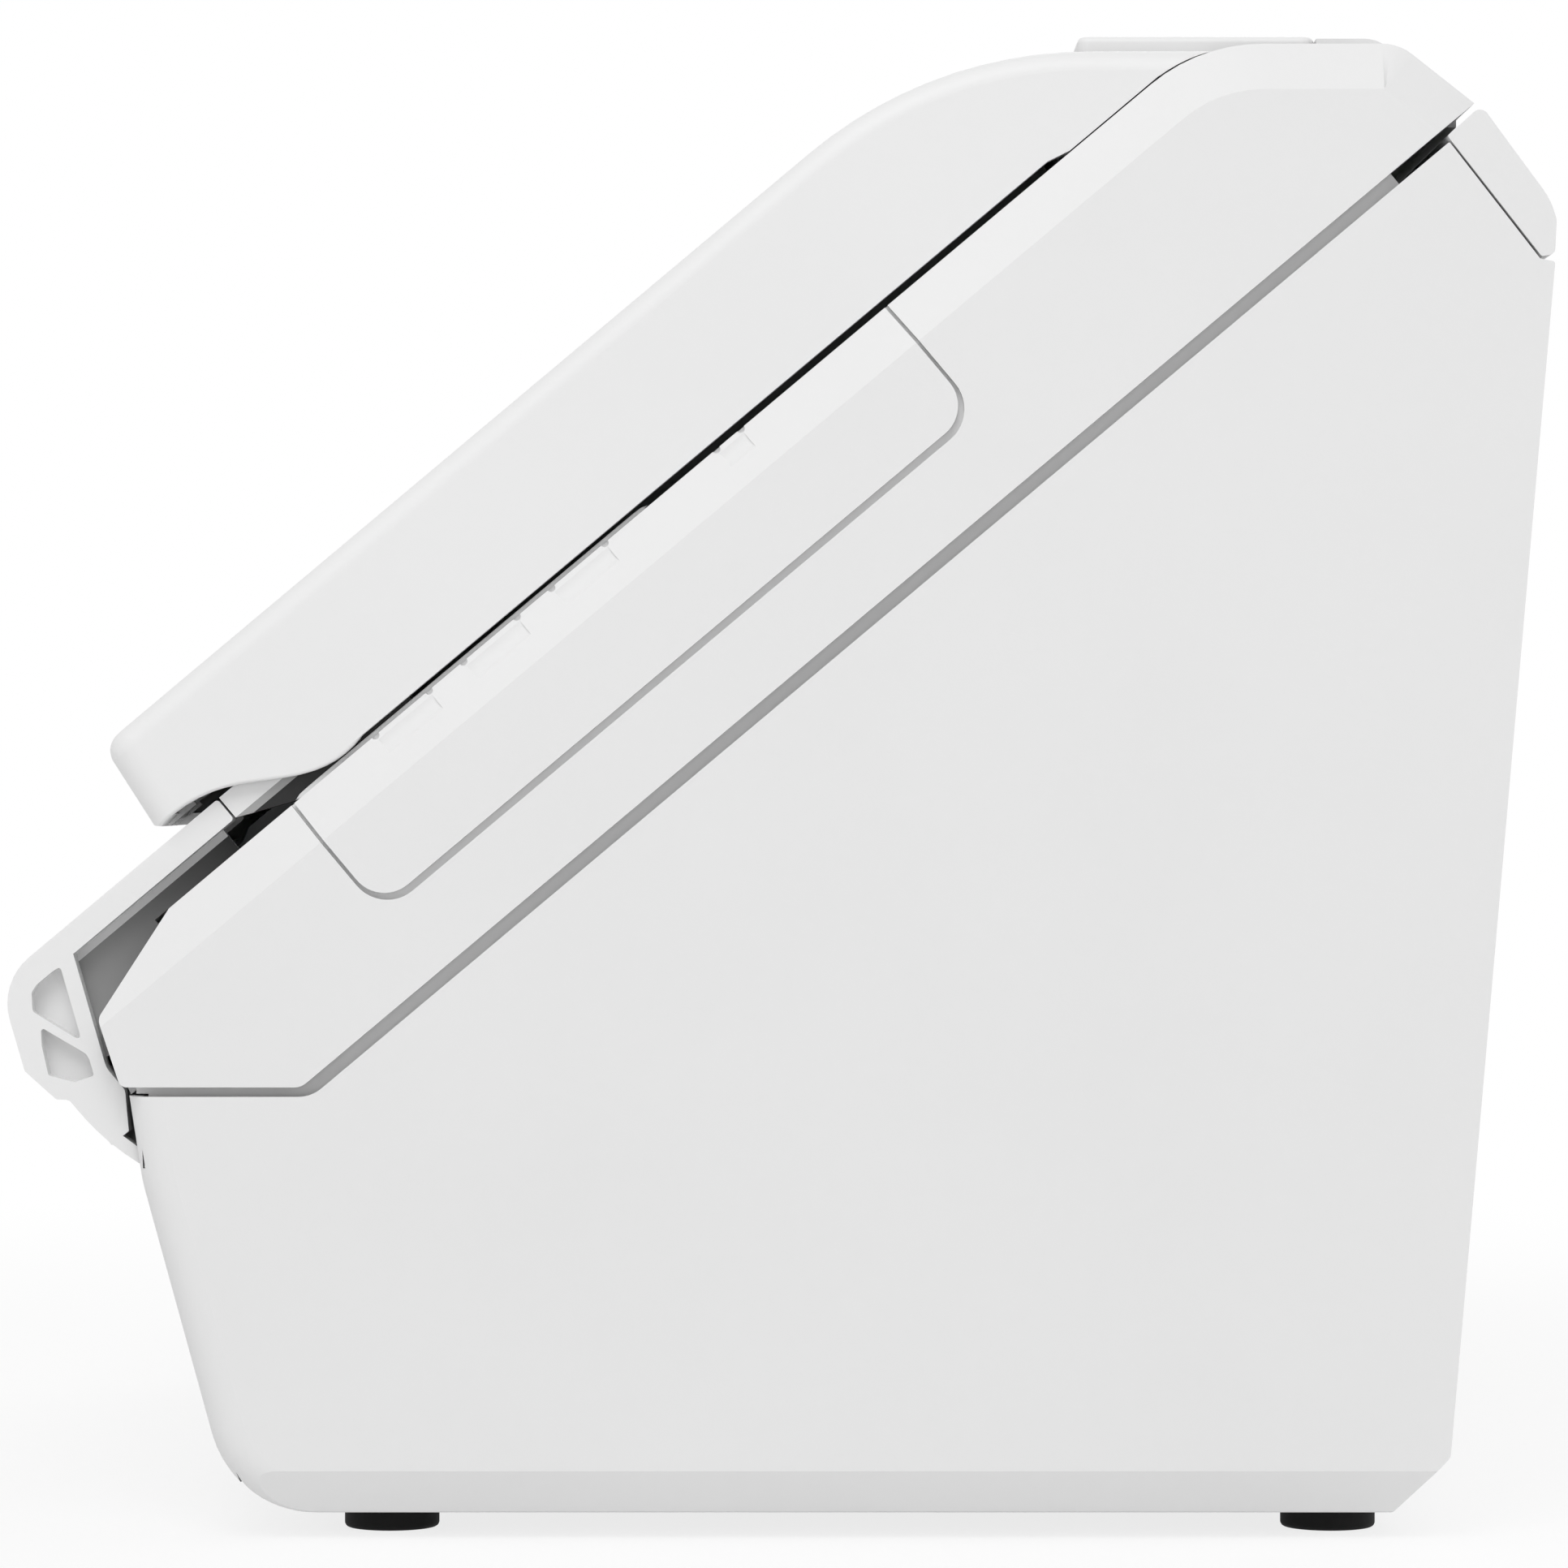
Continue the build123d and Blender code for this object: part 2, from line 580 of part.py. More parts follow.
def sleeve_centres():
    inner = SLEEVE_OUTER_X - SLEEVE_PITCH
    return [-SLEEVE_OUTER_X, -inner, inner, SLEEVE_OUTER_X]


def lower_guide():
    top = PAPER_V - PAPER_GAP / 2
    under = top - GUIDE_THICK
    wide = CHANNEL_HALF - 0.3
    narrow = UNIT_HALF + 3
    body = slab(158, LOWER_GUIDE_END_U, under, top, -wide, wide) + slab(-36, 30, under, top, -narrow, narrow)
    body += slab(26, 160, under, top, -FRAME_INNER_X - 2, FRAME_INNER_X + 2)
    ribs = int(UNIT_HALF / GUIDE_RIB_PITCH)
    for x in [index * GUIDE_RIB_PITCH for index in range(-ribs, ribs + 1) if index]:
        body += slab(90, 128, under - 3, under, x - 0.8, x + 0.8)
    for u in (EJECT_U, TRANSPORT_U):
        for x in sleeve_centres():
            body -= slab(u - 6.5, u + 6.5, under - 9, top + 1, x - 8, x + 8)
    body -= slab(FEED_U - 6.5, FEED_U + 6.5, under - 9, top + 1, -22, 22)
    half = GLASS_LENGTH / 2
    body -= slab(LOWER_GLASS_U - half, LOWER_GLASS_U + half, under, top + 1, -PAPER_HALF, PAPER_HALF)
    slot_u = GUIDE_CENTRE_U - GUIDE_TEETH * GUIDE_MODULE / 2 - 3.5
    inner = GUIDE_OPEN_X - GUIDE_TRAVEL - 0.5
    body -= slab(slot_u - 1.8, slot_u + 1.8, under, top, -GUIDE_OPEN_X - 7.5, -inner)
    mirrored_u = 2 * GUIDE_CENTRE_U - slot_u
    body -= slab(mirrored_u - 1.8, mirrored_u + 1.8, under, top, inner, GUIDE_OPEN_X + 7.5)
    post = DECK * (Pos(GUIDE_CENTRE_U, under - 2.7, 0) * Rot(90, 0, 0) * Cylinder(2, 5.4))
    return body + post


def scan_glass(centre_u, low, high):
    half = GLASS_LENGTH / 2 - 0.1
    return slab(centre_u - half, centre_u + half, low, high, -PAPER_HALF + 0.1, PAPER_HALF - 0.1)


def sensor_bar(centre_u, low, high):
    half = GLASS_LENGTH / 2
    bar = slab(centre_u - half, centre_u + half, low, high, -PAPER_HALF, PAPER_HALF)
    return chamfer(bar.edges().filter_by(Axis.X), 1.0)


def roller_v():
    return PAPER_V - ROLLER_RADIUS


def side_frame():
    """Right-hand steel plate that carries the shafts."""
    top = PAPER_V - PAPER_GAP / 2 - GUIDE_THICK - 0.1
    plate = slab(EJECT_U - 8, FEED_U + 12, top - 16, top, FRAME_INNER_X, FRAME_INNER_X + FRAME_THICK)
    for u in (EJECT_U, TRANSPORT_U, FEED_U):
        plate -= rod(u, roller_v(), BUSH_RADIUS, FRAME_INNER_X - 1, FRAME_INNER_X + 3)
    return plate


def motor_place():
    reach = (GEAR_TEETH + PINION_TEETH) * GEAR_MODULE / 2 + 0.1
    return (TRANSPORT_U + reach * cos(radians(MOTOR_ANGLE)), roller_v() + reach * sin(radians(MOTOR_ANGLE)))


def right_frame():
    u, v = motor_place()
    disc = rod(u, v, MOTOR_RADIUS + 3, FRAME_INNER_X, FRAME_INNER_X + FRAME_THICK)
    below = slab(u - 30, u + 30, v - 30, roller_v() - 6, FRAME_INNER_X - 9, FRAME_INNER_X + 9)
    plate = side_frame() + (disc & below)
    return plate - rod(u, v, 6, FRAME_INNER_X - 1, FRAME_INNER_X + 3)


def shaft_bushes():
    bushes = Part()
    for u in (EJECT_U, TRANSPORT_U, FEED_U):
        ring = rod(u, roller_v(), BUSH_RADIUS, FRAME_INNER_X - 0.8, FRAME_INNER_X + FRAME_THICK + 0.4)
        ring += rod(u, roller_v(), BUSH_RADIUS + 0.9, FRAME_INNER_X - 1.8, FRAME_INNER_X)
        bore = rod(u, roller_v(), SHAFT_RADIUS + RUNNING_FIT, FRAME_INNER_X - 9, FRAME_INNER_X + 9)
        bushes += both(ring - bore)
    return bushes


def roller_shaft(u):
    return rod(u, roller_v(), SHAFT_RADIUS, -FRAME_INNER_X - 6.4, FRAME_INNER_X + 6.4)


def sleeves(u, centres, width):
    group = Part()
    for x in centres:
        sleeve = rod(u, roller_v(), ROLLER_RADIUS, x - width / 2, x + width / 2)
        group += sleeve - rod(u, roller_v(), SHAFT_RADIUS, x - width, x + width)
    return group


def pulley(u):
    x0 = -FRAME_INNER_X - 6.3
    wheel = rod(u, roller_v(), PULLEY_RADIUS, x0, x0 + BELT_WIDTH)
    return wheel - rod(u, roller_v(), SHAFT_RADIUS, x0 - 1, x0 + BELT_WIDTH + 1)


def drive_belt():
    x0 = -FRAME_INNER_X - 6.2
    inner = PULLEY_RADIUS + BELT_GAP
    run = FEED_U - EJECT_U
    middle = Pos((FEED_U + EJECT_U) / 2, roller_v())
    outer = inner + BELT_THICK
    loop = middle * (SlotCenterToCenter(run, 2 * outer) - SlotCenterToCenter(run, 2 * inner))
    return prism(loop, x0, x0 + BELT_WIDTH - 0.2)


def toothed(teeth, module, first_angle):
    """Face of a gear whose teeth have straight flanks, with one tooth centred on the first angle."""
    pitch = teeth * module / 2
    root = pitch - 1.15 * module
    tip = pitch + 0.8 * module
    half = pi / (2 * teeth) - 0.07 / pitch
    points = []
    for index in range(teeth):
        middle = first_angle + 2 * pi * index / teeth
        for radius, spread in ((root, 1.62), (tip, 0.52)):
            points.append((radius, middle - half * spread))
        for radius, spread in ((tip, 0.52), (root, 1.62)):
            points.append((radius, middle + half * spread))
    corners = [(r * cos(a), r * sin(a)) for r, a in points]
    return make_face(Polyline(*corners, close=True))


def drive_gear():
    x0 = FRAME_INNER_X + 2.6
    gap = radians(MOTOR_ANGLE) + pi / GEAR_TEETH
    face = Pos(TRANSPORT_U, roller_v()) * toothed(GEAR_TEETH, GEAR_MODULE, gap)
    bore = rod(TRANSPORT_U, roller_v(), SHAFT_RADIUS, x0 - 1, x0 + GEAR_WIDTH + 1)
    return prism(face, x0, x0 + GEAR_WIDTH) - bore


def motor_pinion():
    x0 = FRAME_INNER_X + 2.6
    u, v = motor_place()
    face = Pos(u, v) * toothed(PINION_TEETH, GEAR_MODULE, radians(MOTOR_ANGLE) + pi)
    return prism(face, x0, x0 + GEAR_WIDTH) + rod(u, v, 1.5, FRAME_INNER_X - 6, x0 + 1)


def drive_motor():
    u, v = motor_place()
    can = rod(u, v, MOTOR_RADIUS, FRAME_INNER_X - MOTOR_LENGTH, FRAME_INNER_X)
    can = fillet(can.edges().group_by(Axis.X)[0], 2)
    return can - rod(u, v, 1.5 + RUNNING_FIT, FRAME_INNER_X - 6.3, FRAME_INNER_X + 1)


def circuit_board():
    back = BOARD_FRONT_Y + BOARD_THICK
    left = INLET_X - BOARD_OVERHANG
    right = left + BOARD_WIDTH
    board = block(BOARD_FRONT_Y, back, BOARD_LOW_Z, BOARD_HIGH_Z, left, right)
    for x in (left + 8, right - 8):
        board += block(BOARD_FRONT_Y - 8, BOARD_FRONT_Y, BOARD_HIGH_Z - 8, BOARD_HIGH_Z - 2, x - 4, x + 4)
    return board + block(BOARD_FRONT_Y - 5, BOARD_FRONT_Y, 40, 64, right - 50, right - 26)


def connector_shell(x, half, top):
    return block(BOARD_FRONT_Y + BOARD_THICK, CONNECTOR_END_Y, CONNECTOR_FOOT_Z, top, x - half, x + half)


def power_inlet():
    middle_z = (CONNECTOR_FOOT_Z + INLET_TOP_Z) / 2
    mouth = Plane((INLET_X, CONNECTOR_END_Y + 2.8, middle_z), x_dir=(1, 0, 0), z_dir=(0, -1, 0)) * Circle(3.2)
    return connector_shell(INLET_X, INLET_HALF, INLET_TOP_Z) - extrude(mouth, 12)


def data_socket():
    mouth = block(104, 116, CONNECTOR_FOOT_Z + 2.5, SOCKET_TOP_Z - 2.5, SOCKET_X - 4, SOCKET_X + 4)
    return connector_shell(SOCKET_X, SOCKET_HALF, SOCKET_TOP_Z) - mouth


# Front cover

def cover_face():
    lip = at(COVER_LIP_U + COVER_LIP_ROUND, COVER_LIP_V)
    above_lip = at(COVER_LIP_U, COVER_LIP_V + COVER_LIP_ROUND)
    crown_u = u_at_height(COVER_TOP_Z, COVER_V)
    top = FilletPolyline(
        lip, above_lip, at(COVER_NOSE_U, COVER_V), at(crown_u, COVER_V), (82, COVER_TOP_Z), at(188, 0.25),
        at(SLOT_TIP_U, 0.25), at(SLOT_TIP_U - 4, SLOT_END_GAP_V), at(16, COVER_GAP_V),
        radius=[0, 0, COVER_CROWN_RADIUS, 0, 0, 0, 0])
    curl = Spline(at(16, COVER_GAP_V), at(1, 4.6), at(-7.5, 9.6), at(-14, 11.4), lip)
    return make_face([*top.edges(), *curl.edges()])


def cover_hollow():
    """Space inside the cover, closed at the nose and at the back, open below."""
    high = COVER_V - WALL
    crown_u = u_at_height(COVER_TOP_Z - WALL, high)
    face = outline(
        [at(COVER_LIP_U + WALL + 0.2, -25), at(COVER_NOSE_U + WALL, high), at(crown_u, high),
         (82, COVER_TOP_Z - WALL), (82, 180)], [0, 2, COVER_CROWN_RADIUS - WALL, 0, 0])
    reach = COVER_HALF - WALL
    return prism(face, -reach, reach, SIDE) & block(-HALF, COVER_BACK_Y - WALL, SILL_Z, TOP_Z + 10, -reach, reach)


def cover_plan():
    """Bar that leaves the nose rounded when seen along the nose face."""
    lip = at(COVER_LIP_U, COVER_LIP_V + COVER_LIP_ROUND)
    nose = at(COVER_NOSE_U, COVER_V)
    place = Plane(origin=(0, *lip), x_dir=(1, 0, 0), z_dir=Vector(0, nose[0] - lip[0], nose[1] - lip[1]))
    corners = [(-COVER_HALF, 0), (COVER_HALF, 0), (COVER_HALF, 400), (-COVER_HALF, 400)]
    rounding = [COVER_NOSE_RADIUS, COVER_NOSE_RADIUS, 0, 0]
    return extrude(place * outline(corners, rounding), amount=250, both=True)


def cover_rim(body):
    """Edges round the top of the cover, on both sides and across the nose."""
    rim = []
    for edge in body.edges():
        u, v = deck_of(edge.center().Y, edge.center().Z)
        high = v > COVER_V / 2 and u > COVER_NOSE_U + 3 or edge.center().Z > COVER_TOP_Z - 0.1
        along = abs(edge.center().X) > COVER_HALF - 0.1 and high
        if edge.length > 5 and (along or (v > COVER_V - 0.1 and u < 0)):
            rim.append(edge)
    return rim


def cover_curl(body):
    """Edges along the S-shaped lower border, on both sides."""
    found = []
    for edge in body.edges():
        u, v = deck_of(edge.center().Y, edge.center().Z)
        if abs(edge.center().X) > COVER_HALF - 0.1 and -18 < u < 15 and COVER_GAP_V < v < 11.5:
            found.append(edge)
    return found


def front_cover_shell():
    body = prism(cover_face(), -COVER_HALF, COVER_HALF, SIDE) & cover_plan()
    body = fillet(cover_rim(body), COVER_EDGE_RADIUS)
    body = fillet(cover_curl(body), COVER_CURL_RADIUS)
    hump_y, hump_z = hump_arc_centre()
    body -= prism(Pos(hump_y, hump_z) * Circle(HUMP_RADIUS + 0.25), -HALF, HALF, SIDE)
    runners = both(lever_runner()) & body
    body -= cover_hollow()
    body += runners
    body -= block(COVER_BACK_Y, 90, 215, 255, -CHANNEL_HALF + 1, CHANNEL_HALF - 1)
    body += both(hinge_lugs())
    body -= both(rod(HINGE_U, HINGE_V, HINGE_KNUCKLE_RADIUS + 0.4, HINGE_X - 3.4, HINGE_X + 3.4))
    body -= both(rod(HINGE_U, HINGE_V, HINGE_PIN_RADIUS, HINGE_X - 6, HINGE_X + 6))
    return body - panel_openings()


def lever_runner():
    """Channel under the cover's top in which one end of the release lever slides."""
    outer = LEVER_HALF + LEVER_PLAY
    top = LEVER_LOW_Z + LEVER_THICK + LEVER_PLAY
    rail = block(27, COVER_BACK_Y - 1, LEVER_LOW_Z - 2, COVER_TOP_Z - 1, LEVER_HALF - 2, outer + 2)
    return rail - block(20, LEVER_BACK_Y + 1.6, LEVER_LOW_Z - LEVER_PLAY, top, 20, outer)


def hinge_lugs():
    lugs = Part()
    for x in (HINGE_X - 4.7, HINGE_X + 4.7):
        lugs += slab(COVER_LIP_U + 1.5, HINGE_U + 3.4, HINGE_V - 2.2, 21, x - 1.3, x + 1.3)
    return lugs


def button_places():
    names = ["power_button", "stop_button", "start_button"]
    last = DISPLAY_RIGHT_X - BUTTON_INSET
    return {name: last - index * BUTTON_PITCH for index, name in enumerate(names)}


def panel_openings():
    """Window of the display, holes of the buttons, and the slot of the release lever."""
    cuts = slab(DISPLAY_FROM_U, DISPLAY_TO_U, COVER_V - 1.4, COVER_V + 1, DISPLAY_LEFT_X, DISPLAY_RIGHT_X)
    for x in button_places().values():
        cuts += upright(BUTTON_U, x, BUTTON_RADIUS + BUTTON_GAP, COVER_V - WALL - 1, COVER_V + 1)
    reach = LEVER_GRIP_HALF + 1
    return cuts + block(33.5, 46.0, COVER_TOP_Z - 6, COVER_TOP_Z + 1, -reach, reach)


def upright(u, x, radius, v0, v1):
    """Round bar square to the slope."""
    place = Plane(origin=(x, *at(u, v0)), x_dir=(1, 0, 0), z_dir=(0, -DECK_SIN, DECK_COS))
    return extrude(place * Circle(radius), amount=v1 - v0)


def display_glass():
    gap = DISPLAY_GAP
    return slab(DISPLAY_FROM_U + gap, DISPLAY_TO_U - gap, COVER_V - DISPLAY_THICK, COVER_V,
                DISPLAY_LEFT_X + gap, DISPLAY_RIGHT_X - gap)


def push_button(x):
    foot = COVER_V - BUTTON_HEIGHT
    cap = upright(BUTTON_U, x, BUTTON_RADIUS, foot, COVER_V + BUTTON_RISE)
    cap = fillet(cap.edges().sort_by(edge_v)[-1], 0.5)
    return cap + upright(BUTTON_U, x, BUTTON_RADIUS + BUTTON_FLANGE, foot, COVER_V - WALL - 0.3)


def release_lever():
    top = LEVER_LOW_Z + LEVER_THICK
    lever = block(LEVER_FRONT_Y, LEVER_BACK_Y, LEVER_LOW_Z, top, -LEVER_HALF, LEVER_HALF)
    grip = block(41.2, LEVER_BACK_Y - 0.8, top, COVER_TOP_Z + 0.5, -LEVER_GRIP_HALF, LEVER_GRIP_HALF)
    return lever + fillet(grip.edges().group_by(Axis.Z)[-1], 0.6)


def upper_guide():
    under = PAPER_V + PAPER_GAP / 2
    floor = under + GUIDE_THICK
    roof = COVER_V - WALL - 0.3
    mouth_u = FEED_U + 10
    back_u = mouth_u + 18
    points = [(UNIT_FRONT_U, under), (mouth_u, under), (back_u, -2), (back_u, 8), (back_u - 16, 23.4),
              (FEED_U - 4, roof), (8, roof), (8, 3), (UNIT_FRONT_U, 3)]
    body = prism(outline(points), -UNIT_HALF, UNIT_HALF)
    front_u = UNIT_FRONT_U + GUIDE_THICK
    hollow = outline([(front_u, floor), (mouth_u - 0.7, floor), (back_u - GUIDE_THICK, -1.2),
                      (back_u - GUIDE_THICK, 60), (front_u, 60)])
    body -= prism(hollow, -UNIT_HALF + GUIDE_THICK, UNIT_HALF - GUIDE_THICK)
    for u, reach in ((EJECT_U, LUG_X), (TRANSPORT_U, LUG_X), (FEED_U, SEPARATION_REACH)):
        radius = IDLER_SHAFT_RADIUS + RUNNING_FIT
        v = idler_v(u)
        lug = slab(u - 3.5, u + 3.5, floor, v + 3.5, reach - 3, reach)
        body += both(lug - rod(u, v, radius, reach - 5, reach + 5))
        centres = [0] if u == FEED_U else sleeve_centres()
        width = (SEPARATION_WIDTH if u == FEED_U else IDLER_WIDTH) + 4
        for x in centres:
            body -= slab(u - 6.8, u + 6.8, under - 1, floor, x - width / 2, x + width / 2)
    body -= rod(HINGE_U, HINGE_V, UNIT_CLEARANCE_RADIUS, -HALF, HALF)
    half = GLASS_LENGTH / 2
    return body - slab(UPPER_GLASS_U - half, UPPER_GLASS_U + half, under - 1, floor, -PAPER_HALF, PAPER_HALF)


def idler_v(u):
    radius = ROLLER_RADIUS if u == FEED_U else IDLER_RADIUS
    return PAPER_V + NIP_GAP + radius


def idler(u, reach, centres, width):
    radius = ROLLER_RADIUS if u == FEED_U else IDLER_RADIUS
    body = rod(u, idler_v(u), IDLER_SHAFT_RADIUS, -reach, reach)
    for x in centres:
        body += rod(u, idler_v(u), radius, x - width / 2, x + width / 2)
    return body


def hinge_bracket():
    """Right-hand arm that carries the cover's hinge pin, on a foot on top of the cheek."""
    x0 = HINGE_X - HINGE_ARM_WIDTH / 2
    x1 = HINGE_X + HINGE_ARM_WIDTH / 2
    arm_face = outline([(26, 0), (26, 5), (6, 14.5), (HINGE_U + 1, HINGE_V + 2.0),
                        (HINGE_U + 1, HINGE_V - 1.4), (-8, 11.2), (0, 4), (0, 0)])
    arm = prism(arm_face, x0, x1)
    arm += rod(HINGE_U, HINGE_V, HINGE_KNUCKLE_RADIUS, x0, x1)
    arm -= rod(HINGE_U, HINGE_V, HINGE_PIN_RADIUS + RUNNING_FIT, x0 - 1, x1 + 1)
    foot = slab(1, 26, 0, 2.5, x0, TRAY_HALF - 0.2)
    fin_u = TRAY_END_U + 0.4
    fin_face = outline([(fin_u, 4.6), (fin_u, TRAY_V), (4, TRAY_V), (14, 2), (14, 0), (1, 0)])
    fin = prism(fin_face, TRAY_HALF - 5, TRAY_HALF)
    return arm + foot + fin


# Output tray

def ring_sector(r0, r1, from_angle, to_angle, x0, x1):
    """Curved wall about the tray's hinge between two angles of the slope's frame."""
    ring = rod(TRAY_HINGE_U, TRAY_HINGE_V, r1, x0, x1) - rod(TRAY_HINGE_U, TRAY_HINGE_V, r0, x0 - 1, x1 + 1)
    far = 3 * r1
    middle = (from_angle + to_angle) / 2
    corners = [(TRAY_HINGE_U, TRAY_HINGE_V)]
    for angle in (from_angle, middle, to_angle):
        corners.append((TRAY_HINGE_U + far * cos(radians(angle)), TRAY_HINGE_V + far * sin(radians(angle))))
    return ring & prism(outline(corners), x0, x1)


def output_tray():
    inside = TRAY_V - TRAY_PANEL
    corner = (TRAY_CORNER_U, TRAY_V)
    outer = [(TRAY_END_U, TRAY_V), corner, (-63.4, -5.2), (-62.4, -12.2), (-60.8, -13.6), (-60.8, -16)]
    inner = [(-60.8 + TRAY_WALL, -16), (-59.9, -12.4), (-61.2, -6.0), (-56.6, inside), (TRAY_END_U, inside)]
    rounding = [0.6, TRAY_CORNER_RADIUS, 1, 1, 0, 0, 0, 1, 1, TRAY_CORNER_RADIUS - 3, 0.6]
    body = prism(outline(outer + inner, rounding), -TRAY_HALF, TRAY_HALF)
    body += ring_sector(TRAY_WALL_RADIUS - TRAY_WALL, TRAY_WALL_RADIUS, 179, 209, -TRAY_HALF, TRAY_HALF)
    body += both(truss_end() + tray_arm() + tray_side_wall())
    body -= slab(-49, -8, TRAY_V - TRAY_PANEL - 1, TRAY_V - 1.5, -EXTENSION_HALF, EXTENSION_HALF)
    notch = slab(HINGE_U - 1.2, -8, 0, TRAY_V + 1, HINGE_X - 6.5, HINGE_X + 6.5)
    return body - both(notch)


def truss_end():
    """Right-hand end plate of the tray: pockets leave a rim, a leg and a slanting rib standing."""
    plate = outline([(-44.0, 6), (-56.5, 7.5), (-63.0, -5.4), (-62.0, -12), (-60.4, -14.5), (-60.2, -24),
                     (-56.5, -24), (-52.6, -18.4), (-52.6, -13.5)], [0, 8, 1, 1, 0, 0, 0, 2, 4])
    body = prism(plate, TRAY_HALF - TRUSS_WIDTH, TRAY_HALF)
    upper = outline([(-47.6, 4.4), (-51.8, 4.9), (-54.1, 4.1), (-56.0, 1.6), (-52.9, -7.6)],
                    [0.5, 1, 1, 1, 0.5])
    lower = outline([(-56.6, -1.3), (-53.7, -9.5), (-53.9, -10.7), (-55.0, -13.2), (-58.1, -12.0),
                     (-60.8, -8.3), (-58.5, -3.8)], 0.4)
    pockets = prism(upper, TRAY_HALF - TRUSS_WIDTH + TRUSS_WEB, TRAY_HALF + 1)
    pockets += prism(lower, TRAY_HALF - TRUSS_WIDTH + TRUSS_WEB, TRAY_HALF + 1)
    return body - pockets


def tray_side_wall():
    """Wall that stands inside the gap between the tray and the cheek."""
    face = outline([(-50, TRAY_V - 2), (-58, -8), (-52, -12), (-31, -12), (-31, 0.4), (-12.5, 0.4),
                    (-12.5, TRAY_V - 2)])
    return prism(face, TRAY_HALF - TRUSS_WIDTH - 0.6, TRAY_HALF - TRUSS_WIDTH + 1.2)


def tray_arm():
    x0 = TRAY_HALF - TRUSS_WIDTH
    arm = outline([(-49.0, -7.5), (-52.5, -19.5), (TRAY_HINGE_U, TRAY_HINGE_V - 4.5),
                   (TRAY_HINGE_U, TRAY_HINGE_V + 4.5)])
    body = prism(arm, x0 + 1, TRAY_HALF - 2)
    body += rod(TRAY_HINGE_U, TRAY_HINGE_V, 5.0, x0 + 1, TRAY_HALF)
    return body + rod(TRAY_HINGE_U, TRAY_HINGE_V, TRAY_PIN_RADIUS, TRAY_HALF - 1, INNER_HALF - 0.4)


def output_extension():
    low = TRAY_V - TRAY_PANEL + 0.2
    half = EXTENSION_HALF - EXTENSION_GAP
    plate = slab(-48.6, -10.4, low, TRAY_V - 1.8, -half, half)
    pockets = int((half - 15) / 30)
    for x in [index * 30 for index in range(-pockets, pockets + 1)]:
        plate -= slab(-44, -16, low - 1, low + 0.7, x - 10, x + 10)
    return plate


# Feed tray

def feed_tray():
    low = FLAP_UNDER_Z - 1.9
    body = prism(Pos(FLAP_HINGE_Y, FLAP_HINGE_Z) * Circle(FLAP_KNUCKLE_RADIUS), -FLAP_HALF, FLAP_HALF, SIDE)
    body += block(FLAP_SEAM_Y + 0.1, FLAP_HINGE_Y, FLAP_UNDER_Z, FLAP_TOP_Z - 0.4, -FLAP_HALF, FLAP_HALF)
    inner = FLAP_HALF - 9
    body += block(52, FLAP_HINGE_Y - 3, low, FLAP_UNDER_Z - 0.2, -inner, inner)
    body += block(FLAP_SEAM_Y, FLAP_HINGE_Y - 2, low, FLAP_UNDER_Z + 0.2, -inner, inner)
    body -= both(block(58, 84, low - 1, FLAP_UNDER_Z, 14, inner - 13))
    for index in range(-2, 3):
        x = index * (inner - 7) / 2
        body += block(54, 93, FLAP_RIB_Z, low, x - 1, x + 1)
    hinge_u, hinge_v = deck_of(FLAP_HINGE_Y, FLAP_HINGE_Z)
    return body + rod(hinge_u, hinge_v, FLAP_PIN_RADIUS, -FLAP_HALF - 4.4, FLAP_HALF + 4.4)


def feed_extension():
    plate = block(FLAP_FRONT_Y, FLAP_SEAM_Y - 0.2, FLAP_UNDER_Z, FLAP_TOP_Z, -FLAP_HALF, FLAP_HALF)
    plate = fillet(plate.edges().filter_by(Axis.Z), 2.0)
    upper = [e for e in plate.edges().group_by(Axis.Z)[-1] if e.center().Y < FLAP_SEAM_Y - 1]
    plate = fillet(upper, 1.0)
    outer = FLAP_HALF - 6.5
    flange = block(84, 90, FLAP_RIB_Z, FLAP_UNDER_Z, outer - 2.2, outer)
    flange += block(84, 90, FLAP_RIB_Z, FLAP_RIB_Z + 0.5, outer - 5, outer)
    return plate + both(flange)


# Document guides

def rack_strip(centre_u):
    """Left-hand rack: its teeth face the pinion, with a gap between teeth at X = 0."""
    pitch_u = centre_u - GUIDE_TEETH * GUIDE_MODULE / 2
    step = pi * GUIDE_MODULE
    root = pitch_u - 1.15 * GUIDE_MODULE
    tip = pitch_u + 0.8 * GUIDE_MODULE
    points = [(-GUIDE_OPEN_X - 2, root - 3.4), (-GUIDE_OPEN_X - 2, root)]
    for index in range(-int(GUIDE_TRAVEL / step) - 3, 2):
        middle = (index + 0.5) * step
        points += [(middle - 1.10, root), (middle - 0.42, tip), (middle + 0.42, tip), (middle + 1.10, root)]
    points += [(6.5, root), (6.5, root - 3.4)]
    return make_face(Polyline(*points, close=True))


def guide_plane(v):
    return Plane(origin=(0, *at(0, v)), x_dir=(1, 0, 0), z_dir=(0, -DECK_SIN, DECK_COS))


